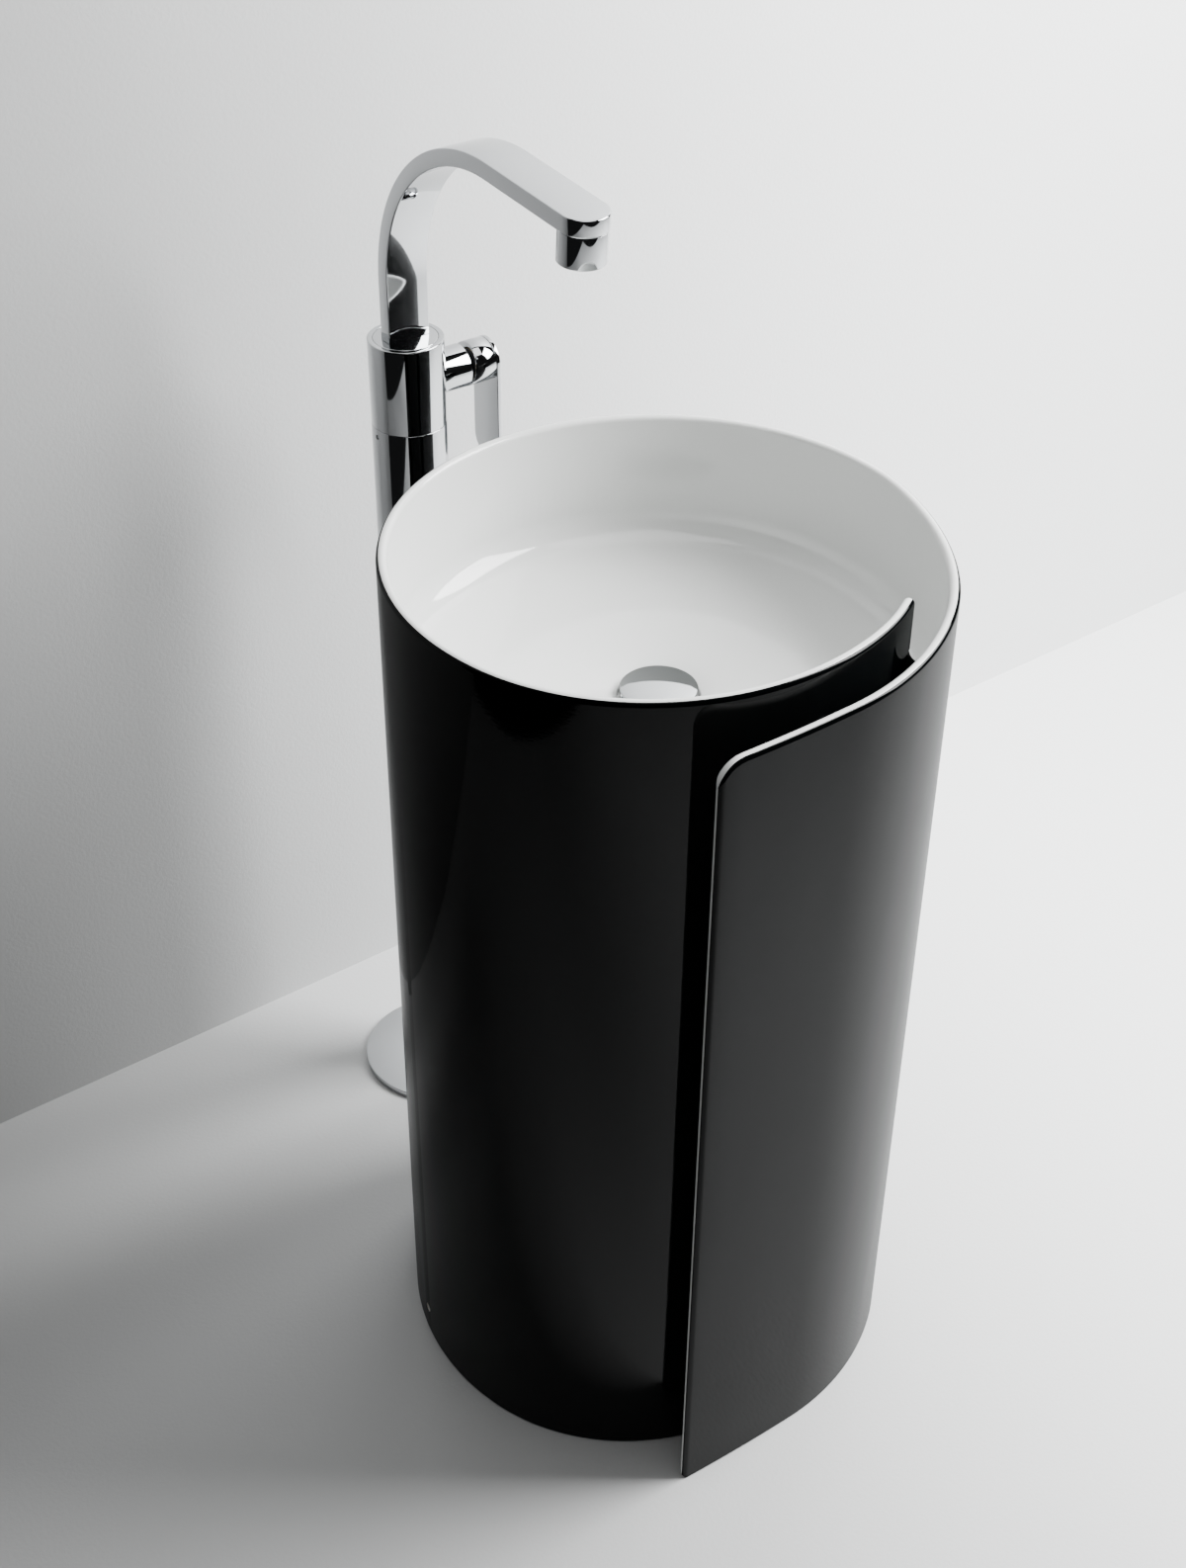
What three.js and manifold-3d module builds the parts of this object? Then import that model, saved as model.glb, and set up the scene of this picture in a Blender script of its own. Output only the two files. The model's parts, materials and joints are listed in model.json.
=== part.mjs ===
// A floor-standing washbasin made as one rolled ceramic sheet, with its floor-standing mixer.
// Millimetres, +Z up. The sheet is drawn about the axis of the roll, with the flap at -Y and the
// mixer at +Y, and the whole model is then moved so that its origin is under its middle.
import * as THREE from 'three';
import { mergeVertices } from 'three/addons/utils/BufferGeometryUtils.js';
import Module from 'manifold-3d';

const wasm = await Module();
wasm.setup();

// ---------------------------------------------------------------- driving dimensions
// Gap that touching pieces keep, and the number of sides of round pieces.
const gap = 0.3;
const fine = 32;
const coarse = 14;

// Rolled sheet. Angles are in degrees from +X; the sheet runs clockwise, so they fall.
const rimHeight = 850;
const rollRadius = 229;
const sheetThickness = 9;
const tipAngle = -57;
const frontAngle = -90;
const stationStep = 7.5;
const tailInset = 22;
const tailEaseStart = -74;
const tailEaseSpan = 90;
const lapGrowth = 9;
const lapStart = -364;
const lapSpan = 50;
const rimDrop = 25;
const rimDropSpan = 116;
const rimDropSoftness = 0.08;
const flapLength = 126;
const flapLean = 4;
const flapCornerRadius = 22;
const webTop = 795;
const webSpan = 3.5;

// Bowl.
const bowlThickness = 12;
const bowlFillet = 28;
const bowlSlope = 0.158;
const drainHoleRadius = 23;
const drainRecessRadius = 34.8;
const drainLedge = 700;
const drainRim = 706;

// Service arch low in the back of the pedestal, and the side screws.
const archWidth = 150;
const archHeight = 230;
const sideScrewAngle = 13.5;
const sideScrewHeight = 32;
const sideHoleRadius = 4.5;

// Mixer column.
const mixerDistance = 382.5;
const flangeRadius = 81;
const flangeTop = 7.5;
const columnRadius = 35;
const columnWall = 2.5;
const seamHeight = 799.5;
const columnTop = 882.5;
const discRadius = 29.7;
const discThickness = 6;

// Spout. The band bends a little past level, so its arm falls towards the outlet.
const bandWidth = 42.4;
const bandThickness = 15;
const spoutTop = 1101.5;
const bendCentreReach = 155;
const bendCentreHeight = spoutTop - bendCentreReach - bandThickness / 2;
const armFall = 4.2;
const outletReach = 271.5;
const outletRadius = 20.5;
const outletBore = 17;
const outletLength = 27.5;

// Handle. Its own frame has +Z out of the column (world +X) and +X down.
const handleHeight = 838;
const stubRadius = 20.5;
const stubEnd = 58;
const hubStartLow = stubEnd + 1;
const hubStartHigh = stubEnd + 7;
const hubEnd = 84.5;
const stemEnd = hubEnd - 7.5;
const grubReach = hubEnd - 11.5;
const bladeThickness = 4;
const bladeReach = 83;
const handleRadius = 20.5;

// Waste and trap.
const capRadius = 33;
const capTop = 716;
const capThickness = 3.5;
const wasteTubeRadius = 22.5;
const wasteBottom = 640;
const tailRadius = 16;
const trapOutletHeight = 495;
const drainPipeReach = 95;

// ---------------------------------------------------------------- helpers for solids
const radians = (degrees) => degrees * Math.PI / 180;
const smooth = (u) => THREE.MathUtils.smoothstep(u, 0, 1);

// A manifold-3d solid from a three.js geometry, with shared corners merged and faces turned out.
function solidOf(geometry) {
  const bare = new THREE.BufferGeometry();
  bare.setAttribute('position', geometry.getAttribute('position'));
  bare.setIndex(geometry.getIndex());
  const merged = mergeVertices(bare, 1e-4);
  const corners = merged.getIndex().array;
  const kept = [];
  for (let i = 0; i < corners.length; i += 3) {
    const [a, b, c] = [corners[i], corners[i + 1], corners[i + 2]];
    if (a !== b && b !== c && c !== a) kept.push([a, b, c]);
  }
  const places = merged.getAttribute('position');
  const [p, q, r] = [new THREE.Vector3(), new THREE.Vector3(), new THREE.Vector3()];
  let volume = 0;
  for (const [a, b, c] of kept) {
    p.fromBufferAttribute(places, a);
    q.fromBufferAttribute(places, b);
    r.fromBufferAttribute(places, c);
    volume += p.dot(q.cross(r));
  }
  if (volume < 0) kept.forEach((face) => face.reverse());
  const mesh = new wasm.Mesh({
    numProp: 3,
    vertProperties: new Float32Array(places.array),
    triVerts: new Uint32Array(kept.flat()),
  });
  return new wasm.Manifold(mesh);
}

function geometryOf(solid) {
  const mesh = solid.getMesh();
  const geometry = new THREE.BufferGeometry();
  geometry.setAttribute('position', new THREE.BufferAttribute(new Float32Array(mesh.vertProperties), 3));
  geometry.setIndex(new THREE.BufferAttribute(new Uint32Array(mesh.triVerts), 1));
  geometry.computeVertexNormals();
  return geometry;
}

// A turned piece about Z from [radius, height] points. The points go round the material
// anticlockwise, or from the bottom of the axis to its top.
function turned(points, sides = coarse) {
  const closes = points[0][0] > 0;
  const outline = closes ? [...points, points[0]] : points;
  const profile = outline.map(([radius, height]) => new THREE.Vector2(radius, height));
  return solidOf(new THREE.LatheGeometry(profile, sides).rotateX(Math.PI / 2));
}

// A round tube about Z.
function tube(inner, outer, low, high, sides = coarse) {
  return turned([[inner, low], [outer, low], [outer, high], [inner, high]], sides);
}

// A round bar about Z.
function bar(radius, low, high, sides = coarse) {
  return turned([[0, low], [radius, low], [radius, high], [0, high]], sides);
}

// A flat outline in XY raised from one height to another.
function raised(shape, low, high, curveSegments = 8) {
  const settings = { depth: high - low, bevelEnabled: false, curveSegments };
  return solidOf(new THREE.ExtrudeGeometry(shape, settings).translate(0, 0, low));
}

function block(low, high) {
  const size = high.map((value, i) => value - low[i]);
  const centre = high.map((value, i) => (value + low[i]) / 2);
  return solidOf(new THREE.BoxGeometry(...size).translate(...centre));
}

function polygon(points) {
  return new THREE.Shape(points.map(([x, y]) => new THREE.Vector2(x, y)));
}

// The corners of a hexagon, as far from its middle as stated.
function sixCorners(reach) {
  const turns = [0, 1, 2, 3, 4, 5].map((k) => radians(60 * k));
  return turns.map((turn) => [reach * Math.cos(turn), reach * Math.sin(turn)]);
}

// A hexagon nut with a round hole.
function hexNut(acrossFlats, holeRadius, low, high) {
  const corner = acrossFlats / Math.sqrt(3);
  const hexagon = raised(polygon(sixCorners(corner)), low, high);
  return hexagon.subtract(bar(holeRadius, low - 1, high + 1));
}

// A headless screw along Z with a hexagon socket in its upper end.
function socketScrew(radius, low, high) {
  const key = polygon(sixCorners(radius / 2));
  return bar(radius, low, high, 12).subtract(raised(key, high - radius, high + 1));
}

function alongX(solid) {
  return solid.rotate([0, 90, 0]);
}

// ---------------------------------------------------------------- materials
function material(color, roughness, metalness) {
  return new THREE.MeshStandardMaterial({ color, roughness, metalness });
}

const blackGlaze = material(0x0b0c0d, 0.08, 0);
const chrome = material(0xd9dcde, 0.06, 1);
const satinSteel = material(0x9a9c9e, 0.35, 1);
const brass = material(0xb08d4a, 0.35, 1);
const rubber = material(0x1a1a1a, 0.8, 0);
const whitePlastic = material(0xe6e6e2, 0.4, 0);
const blackPlastic = material(0x161616, 0.4, 0);
const braid = material(0x8e9092, 0.5, 1);

function named(name, solid, finish) {
  const mesh = new THREE.Mesh(geometryOf(solid), finish);
  mesh.name = name;
  return mesh;
}

// ---------------------------------------------------------------- the rolled sheet
function sheetRadius(angle) {
  const inset = tailInset * (1 - smooth((tailEaseStart - angle) / tailEaseSpan));
  const growth = lapGrowth * smooth((lapStart - angle) / lapSpan);
  return rollRadius - inset + growth;
}

const frontAfterOneTurn = frontAngle - 360;
const flapRadius = rollRadius + lapGrowth;

// Outer face of the sheet: round to the front, then the flat flap. `ahead` is the length of flap.
function sheetPoint(angle, ahead = 0) {
  if (ahead > 0) {
    return new THREE.Vector2(-ahead, -flapRadius + flapLean * (ahead / flapLength) ** 2);
  }
  const radius = sheetRadius(angle);
  return new THREE.Vector2(radius * Math.cos(radians(angle)), radius * Math.sin(radians(angle)));
}

// Inner face, square to the outer one.
function innerPoint(angle, ahead = 0) {
  const reach = 0.05;
  const before = ahead > reach ? sheetPoint(angle, ahead - reach) : sheetPoint(angle + reach);
  const after = ahead > 0 ? sheetPoint(angle, ahead + reach) : sheetPoint(angle - reach);
  const along = after.clone().sub(before).normalize();
  const inward = new THREE.Vector2(along.y, -along.x).multiplyScalar(sheetThickness);
  return sheetPoint(angle, ahead).add(inward);
}

// The rim falls along the outer lap, gently at first, and rounds off at the flap's corner.
function rimAt(angle, ahead = 0) {
  const travelled = lapStart - angle + (ahead / flapRadius) * 180 / Math.PI;
  const u = Math.max(0, travelled / rimDropSpan);
  const eased = u * u / (u + rimDropSoftness);
  const drop = rimDrop * (1 - (1 - eased) ** 2);
  const past = Math.max(0, ahead - (flapLength - flapCornerRadius));
  const corner = flapCornerRadius - Math.sqrt(Math.max(0, flapCornerRadius ** 2 - past ** 2));
  return rimHeight - drop - corner;
}

// Section of the sheet at a station: two faces and a half-round rim.
function sheetSection(angle, ahead) {
  const outer = sheetPoint(angle, ahead);
  const inner = innerPoint(angle, ahead);
  const half = sheetThickness / 2;
  const crown = rimAt(angle, ahead) - half;
  const arcSteps = 4;
  const section = [[outer.x, outer.y, 0]];
  for (let k = 0; k <= arcSteps; k += 1) {
    const turn = Math.PI * k / arcSteps;
    const across = (1 - Math.cos(turn)) / 2;
    const place = outer.clone().lerp(inner, across);
    section.push([place.x, place.y, crown + half * Math.sin(turn)]);
  }
  section.push([inner.x, inner.y, 0]);
  return section;
}

// Closed skin over a row of sections with the same number of points.
function loft(sections, ring = false) {
  const count = sections[0].length;
  const positions = sections.flat(2);
  const faces = [];
  const spans = ring ? sections.length : sections.length - 1;
  for (let s = 0; s < spans; s += 1) {
    const next = (s + 1) % sections.length;
    for (let k = 0; k < count; k += 1) {
      const [a, b] = [s * count + k, s * count + (k + 1) % count];
      const [c, d] = [next * count + k, next * count + (k + 1) % count];
      faces.push(a, c, b, b, c, d);
    }
  }
  if (!ring) {
    const last = (sections.length - 1) * count;
    for (let k = 1; k < count - 1; k += 1) {
      faces.push(0, k, k + 1);
      faces.push(last, last + k + 1, last + k);
    }
  }
  const geometry = new THREE.BufferGeometry();
  geometry.setAttribute('position', new THREE.BufferAttribute(new Float32Array(positions), 3));
  geometry.setIndex(faces);
  return solidOf(geometry);
}

function rolledSheet() {
  const sections = [sheetSection(tipAngle, 0)];
  for (let angle = -60; angle >= frontAfterOneTurn; angle -= stationStep) {
    sections.push(sheetSection(angle, 0));
  }
  const straight = flapLength - flapCornerRadius;
  const straightSteps = 4;
  for (let k = 1; k <= straightSteps; k += 1) {
    sections.push(sheetSection(frontAfterOneTurn, straight * k / straightSteps));
  }
  const cornerSteps = 5;
  for (let k = 1; k <= cornerSteps; k += 1) {
    const turn = 0.5 * Math.PI * k / cornerSteps;
    sections.push(sheetSection(frontAfterOneTurn, straight + flapCornerRadius * Math.sin(turn)));
  }
  return loft(sections);
}

// Web that closes the gap between the tip of the fin and the outer lap.
function tipWeb() {
  const half = sheetThickness / 2;
  const corner = (radius, angle) => [radius * Math.cos(radians(angle)), radius * Math.sin(radians(angle))];
  const near = sheetRadius(tipAngle) - half;
  const far = sheetRadius(tipAngle - 360) - half;
  const outline = [
    corner(near, tipAngle - webSpan),
    corner(far, tipAngle - webSpan),
    corner(far, tipAngle),
    corner(near, tipAngle),
  ];
  return raised(polygon(outline), 0, webTop);
}

// Section of the bowl's floor at one angle, from the drain hole out into the wall.
function bowlSection(angle) {
  const wall = sheetRadius(angle) - sheetThickness;
  const filletFoot = wall - bowlFillet;
  const footHeight = drainRim + bowlSlope * (filletFoot - drainRecessRadius);
  const embed = sheetThickness / 2;
  const arcSteps = 4;
  const profile = [
    [drainHoleRadius, drainLedge - bowlThickness + 2],
    [drainHoleRadius, drainLedge],
    [drainRecessRadius, drainLedge],
    [drainRecessRadius, drainRim],
  ];
  for (let k = 0; k <= arcSteps; k += 1) {
    const turn = 0.5 * Math.PI * k / arcSteps;
    const rise = bowlFillet * (1 - Math.cos(turn));
    profile.push([filletFoot + bowlFillet * Math.sin(turn), footHeight + rise]);
  }
  profile.push([wall + embed, footHeight + bowlFillet]);
  profile.push([wall + embed, footHeight - bowlThickness]);
  profile.push([filletFoot, footHeight - bowlThickness]);
  profile.push([drainRecessRadius + bowlThickness, drainLedge - bowlThickness + 2]);
  return profile.map(([r, z]) => [r * Math.cos(radians(angle)), r * Math.sin(radians(angle)), z]);
}

function bowlFloor() {
  const sections = [];
  const closeToTip = 1;
  for (let angle = -60; angle > tipAngle - 360 + closeToTip; angle -= stationStep) {
    sections.push(bowlSection(angle));
  }
  sections.push(bowlSection(tipAngle - 360 + closeToTip));
  sections.push(bowlSection(tipAngle - closeToTip));
  return loft(sections, true);
}

// A bar that lies along a radius at an angle and height.
function radialBar(radius, from, to, angle, height) {
  return alongX(bar(radius, from, to)).rotate([0, 0, angle]).translate([0, 0, height]);
}

function basinBody() {
  const arch = new THREE.Shape();
  const half = archWidth / 2;
  const spring = archHeight - half;
  arch.moveTo(-half, -1);
  arch.lineTo(half, -1);
  arch.lineTo(half, spring);
  arch.absarc(0, spring, half, 0, Math.PI, false);
  arch.lineTo(-half, -1);
  const archCut = raised(arch, -rollRadius - 20, -rollRadius / 2, 8).rotate([90, 0, 0]);
  let body = rolledSheet().add(tipWeb()).add(bowlFloor());
  body = body.subtract(archCut);
  for (const angle of [sideScrewAngle, 180 - sideScrewAngle]) {
    const hole = radialBar(sideHoleRadius, rollRadius - 20, rollRadius + 20, angle, sideScrewHeight);
    body = body.subtract(hole);
  }
  return body;
}

// ---------------------------------------------------------------- fixing of the basin to the floor
const bracketFace = rollRadius - sheetThickness - 4;
const bracketThickness = 3;

function floorBracket() {
  const halfWidth = 15;
  const upright = 52;
  const foot = 48;
  const outline = polygon([
    [bracketFace - foot, 0],
    [bracketFace, 0],
    [bracketFace, upright],
    [bracketFace - bracketThickness, upright],
    [bracketFace - bracketThickness, bracketThickness],
    [bracketFace - foot, bracketThickness],
  ]);
  const angle = raised(outline, -halfWidth, halfWidth).rotate([90, 0, 0]);
  const screwHole = alongX(bar(3.2, bracketFace - 10, bracketFace + 10)).translate([0, 0, sideScrewHeight]);
  const floorHole = bar(3.5, -1, 10).translate([bracketFace - foot / 2, 0, 0]);
  return angle.subtract(screwHole).subtract(floorHole);
}

function sideFixing(side, turn) {
  const group = new THREE.Group();
  group.rotation.z = radians(turn);
  group.add(named(`floor_bracket_${side}`, floorBracket(), satinSteel));
  const sleeve = alongX(tube(3.2, sideHoleRadius - gap, rollRadius - sheetThickness, rollRadius - 1));
  const screw = alongX(socketScrew(2.9, bracketFace - 12, rollRadius - 2));
  const sleeveMesh = named(`screw_sleeve_${side}`, sleeve, whitePlastic);
  const screwMesh = named(`side_screw_${side}`, screw, satinSteel);
  sleeveMesh.position.z = sideScrewHeight;
  screwMesh.position.z = sideScrewHeight;
  group.add(sleeveMesh, screwMesh);
  return group;
}

// ---------------------------------------------------------------- waste and trap
const flangeSeat = drainLedge + gap;
const capUnder = capTop - capThickness;

function wasteCap() {
  const groove = 1.8;
  const domeRise = 1.2;
  return turned([
    [0, capUnder], [25.7, capUnder], [25.7, capUnder + groove], [28.3, capUnder + groove],
    [28.3, capUnder], [capRadius - 0.6, capUnder], [capRadius, capUnder + 0.6],
    [capRadius, capTop - domeRise - 0.8], [capRadius - 0.8, capTop - domeRise],
    [20, capTop - 0.4], [0, capTop],
  ], fine);
}

function wasteBody() {
  const shell = turned([
    [20, wasteBottom], [wasteTubeRadius, wasteBottom], [wasteTubeRadius, flangeSeat + 2.3],
    [32, flangeSeat + 2.3], [32, flangeSeat + 3.7], [20, flangeSeat + 3.7],
  ]);
  const hub = tube(6.3, 9, 660, 676);
  let body = shell.add(hub);
  for (const turn of [0, 120, 240]) {
    body = body.add(block([8, -1.2, 662], [21, 1.2, 674]).rotate([0, 0, turn]));
  }
  return body;
}

function trapBody() {
  const bottle = turned([
    [tailRadius + gap, 545], [tailRadius + gap, 518], [28, 512], [28, 470],
    [31, 470], [31, 514], [21, 520], [21, 545],
  ].reverse());
  const outlet = tube(14, 16, 26, 60).rotate([-90, 0, 0]).translate([0, 0, trapOutletHeight]);
  const way = bar(14, 20, 61).rotate([-90, 0, 0]).translate([0, 0, trapOutletHeight]);
  const inside = bar(28, 470, 511.9);
  return bottle.add(outlet.subtract(inside)).subtract(way);
}

function outletElbow() {
  const bend = 24;
  const start = 42;
  const fall = 60;
  const place = (ahead, below) => new THREE.Vector3(0, ahead, trapOutletHeight - below);
  const into = place(drainPipeReach - bend, 0);
  const out = place(drainPipeReach, bend);
  const path = new THREE.CurvePath();
  path.add(new THREE.LineCurve3(place(start, 0), into));
  path.add(new THREE.QuadraticBezierCurve3(into, place(drainPipeReach, 0), out));
  path.add(new THREE.LineCurve3(out, place(drainPipeReach, fall)));
  const ring = new THREE.Shape().absarc(0, 0, 13.5, 0, 2 * Math.PI, false);
  ring.holes.push(new THREE.Path().absarc(0, 0, 12, 0, 2 * Math.PI, true));
  const settings = { steps: 8, extrudePath: path, curveSegments: 6 };
  return solidOf(new THREE.ExtrudeGeometry(ring, settings));
}

// Push-open guide under the cap, with a collar on the waste's inner step.
function plugCartridge() {
  const [rodHole, barrel, collar] = [3.3, 6, 8.5];
  const [low, step, high] = [650, 676.3, 682];
  return turned([
    [rodHole, low], [barrel, low], [barrel, step], [collar, step], [collar, high], [rodHole, high],
  ]);
}

// Tube that hangs from the waste into the trap, with a flare under the waste.
function tailpiece() {
  const [low, flareLow, flareHigh] = [455, wasteBottom - 3.3, wasteBottom - gap];
  const [bore, flare] = [tailRadius - 1.5, 21.5];
  return turned([
    [bore, low], [tailRadius, low], [tailRadius, flareLow], [flare, flareLow], [flare, flareHigh],
    [bore, flareHigh],
  ]);
}

// Union nut that holds the flare against the waste.
function tailpieceNut() {
  const [low, seat, high] = [wasteBottom - 11, wasteBottom - 3.6, wasteBottom + 12];
  const [hole, outer, thread] = [tailRadius + gap, 27, wasteTubeRadius + gap];
  return turned([[hole, low], [outer, low], [outer, high], [thread, high], [thread, seat], [hole, seat]]);
}

// Lower half of the bottle trap: a cup whose neck slides over the upper half.
function trapCup() {
  const [low, neckLow, neckHigh] = [400, 468, 478];
  const [bore, neck, outer, wall] = [28, 31.3, 34, 4];
  return turned([
    [0, low], [outer - wall, low], [outer, low + wall], [outer, neckHigh], [neck, neckHigh],
    [neck, neckLow], [bore, neckLow], [bore, low + wall], [0, low + wall],
  ]);
}

function trapInletNut() {
  const [low, seat, high] = [529, 545.3, 551];
  const [hole, thread, outer] = [tailRadius + gap, 21.3, 26];
  return turned([[thread, low], [outer, low], [outer, high], [hole, high], [hole, seat], [thread, seat]]);
}

// Nut on the side outlet of the trap, drawn along +Z from its inner end.
function trapOutletNut() {
  const [seat, length] = [16, 20];
  const [thread, outer, hole] = [16.3, 21, 14];
  return turned([[thread, 0], [outer, 0], [outer, length], [hole, length], [hole, seat], [thread, seat]]);
}

// Sloping ring that covers the joint of the pipe and the floor.
function floorRosette() {
  const [hole, crown, brow, foot] = [16.4, 20, 32, 33];
  const [shoulder, top] = [2.5, 6];
  return turned([[hole, 0], [foot, 0], [brow, shoulder], [crown, top], [hole, top]]);
}

function wasteAndTrap() {
  const group = new THREE.Group();
  const ceramicUnder = drainLedge - bowlThickness + 2;
  const pieces = [
    ['waste_cap', wasteCap(), chrome],
    ['cap_seal', tube(26, 28, capUnder - 0.2, capUnder + 1.5, fine), rubber],
    ['plug_stem', bar(3, 655, capUnder - gap), satinSteel],
    ['plug_cartridge', plugCartridge(), whitePlastic],
    ['waste_body', wasteBody(), chrome],
    ['waste_upper_seal', tube(24, 31, flangeSeat, flangeSeat + 2), rubber],
    ['waste_lower_seal', tube(23, 33, 685.5, ceramicUnder - gap), rubber],
    ['waste_locknut', hexNut(62, 23, 673, 685.2), brass],
    ['tailpiece', tailpiece(), chrome],
    ['tailpiece_nut', tailpieceNut(), chrome],
    ['trap_body', trapBody(), whitePlastic],
    ['trap_cup', trapCup(), whitePlastic],
    ['trap_inlet_nut', trapInletNut(), whitePlastic],
    ['outlet_elbow', outletElbow(), whitePlastic],
  ];
  for (const [name, solid, finish] of pieces) group.add(named(name, solid, finish));
  const nut = named('trap_outlet_nut', trapOutletNut(), whitePlastic);
  nut.rotation.x = -Math.PI / 2;
  nut.position.set(0, 44.5, trapOutletHeight);
  const pipe = named('outlet_pipe', tube(14.2, 16, 0, 460), whitePlastic);
  pipe.position.set(0, drainPipeReach, 0);
  const rosette = named('floor_rosette', floorRosette(), whitePlastic);
  rosette.position.set(0, drainPipeReach, 0);
  group.add(nut, pipe, rosette);
  return group;
}

// ---------------------------------------------------------------- mixer column
const spigotRadius = columnRadius - columnWall - gap;
const columnFoot = 4.3;
const footScrewHeight = 30;
const setScrewHeight = seamHeight - 8;
const coreRadius = columnRadius - columnWall - gap;
const pocketRadius = 18.3;
const pocketStart = 7.5;
const stubStart = 26;
const hoseOffset = 12;
const coreBottom = seamHeight - 15;
const coreTop = columnTop - discThickness - 2 * gap;
const spigotPin = 11;
const spigotPinBottom = coreTop - 15;
const ringGrooves = [2, 8.5];
const grooveHeight = 3;
const grooveDepth = 1.5;

// Floor plate with the upright ring that the column slides over.
function anchorPlate() {
  const [hole, edge, thickness, spigotTop] = [22, 62, 4, 60];
  const spigotBore = spigotRadius - 4;
  const screwCircle = 48;
  let plate = turned([
    [hole, 0], [edge, 0], [edge, thickness], [spigotRadius, thickness], [spigotRadius, spigotTop],
    [spigotBore, spigotTop], [spigotBore, thickness], [hole, thickness],
  ]);
  for (const turn of [45, 135, 225, 315]) {
    plate = plate.subtract(bar(3.5, -1, thickness + 1).translate([screwCircle, 0, 0]).rotate([0, 0, turn]));
  }
  return plate.subtract(bar(2.4, 20, 40).rotate([-90, 0, 0]).translate([0, 0, footScrewHeight]));
}

// Low disc over the floor plate, hollow underneath.
function flangeCover() {
  const skin = 1.5;
  return turned([
    [columnRadius + gap, flangeTop - skin], [flangeRadius - skin, flangeTop - skin],
    [flangeRadius - skin, 0],
    [flangeRadius, 0], [flangeRadius, flangeTop - 0.8], [flangeRadius - 0.8, flangeTop],
    [columnRadius + gap, flangeTop],
  ], fine);
}

function columnTube() {
  const pipe = tube(columnRadius - columnWall, columnRadius, columnFoot, seamHeight - gap, fine);
  const backHole = bar(2.6, 20, 50).rotate([-90, 0, 0]).translate([0, 0, footScrewHeight]);
  const setHole = alongX(bar(2.6, -50, -20)).translate([0, 0, setScrewHeight]);
  return pipe.subtract(backHole).subtract(setHole);
}

function mixerHousing() {
  const bevel = 0.6;
  const sleeve = turned([
    [columnRadius - columnWall, seamHeight], [columnRadius, seamHeight], [columnRadius, columnTop - bevel],
    [columnRadius - bevel, columnTop], [discRadius + gap, columnTop], [discRadius + gap, coreTop + gap],
    [columnRadius - columnWall, coreTop + gap],
  ], fine);
  const sideHole = alongX(bar(stubRadius + gap, 0, 60, fine)).translate([0, 0, handleHeight]);
  return sleeve.subtract(sideHole);
}

function mixerCore() {
  let core = bar(coreRadius, coreBottom, coreTop);
  core = core.subtract(alongX(bar(pocketRadius, pocketStart, 60)).translate([0, 0, handleHeight]));
  const stubHole = alongX(bar(stubRadius + gap, stubStart - gap, 60, fine));
  core = core.subtract(stubHole.translate([0, 0, handleHeight]));
  for (const side of [-hoseOffset, hoseOffset]) {
    core = core.subtract(bar(7.3, coreBottom - 1, coreBottom + 14).translate([side, 0, 0]));
    core = core.subtract(bar(4, coreBottom, handleHeight).translate([side, 0, 0]));
  }
  core = core.subtract(bar(spigotPin + 1.8, spigotPinBottom - gap, coreTop + 1));
  core = core.subtract(bar(6, handleHeight, coreTop));
  const setHole = alongX(bar(1.6, -50, -27)).translate([0, 0, setScrewHeight]);
  return core.subtract(setHole);
}

function supply(name, side) {
  const hose = named(`${name}_hose`, tube(3.2, 6, 1, coreBottom - 10.3), braid);
  const nut = named(`${name}_hose_nut`, hexNut(13, 3.4, coreBottom - 10, coreBottom - gap)
    .add(tube(3.4, 7, coreBottom - 1.2, coreBottom + 12)), brass);
  hose.position.x = side;
  nut.position.x = side;
  return [hose, nut];
}

function columnGroup() {
  const group = new THREE.Group();
  group.add(
    named('anchor_plate', anchorPlate(), satinSteel),
    named('flange_cover', flangeCover(), chrome),
    named('column_tube', columnTube(), chrome),
    named('mixer_housing', mixerHousing(), chrome),
    named('mixer_core', mixerCore(), brass),
    ...supply('hot', -hoseOffset),
    ...supply('cold', hoseOffset),
  );
  const grubScrew = socketScrew(2.1, spigotRadius - 3, columnRadius - 0.5);
  const grub = named('column_grub_screw', grubScrew, satinSteel);
  grub.rotation.x = -Math.PI / 2;
  grub.position.z = footScrewHeight;
  const set = named('column_set_screw', socketScrew(1.3, 28, columnRadius - 1), satinSteel);
  set.rotation.y = -Math.PI / 2;
  set.position.z = setScrewHeight;
  group.add(grub, set);
  return group;
}

// ---------------------------------------------------------------- spout
// Height of the middle of the band over the outlet, and the length of the straight arm up to it.
const fallTurn = armFall * Math.PI / 180;
const armLength = (outletReach - bendCentreReach * (1 + Math.sin(fallTurn))) / Math.cos(fallTurn);
const armStart = bendCentreHeight + bendCentreReach * Math.cos(fallTurn);
const outletHeight = armStart - armLength * Math.sin(fallTurn);

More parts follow.
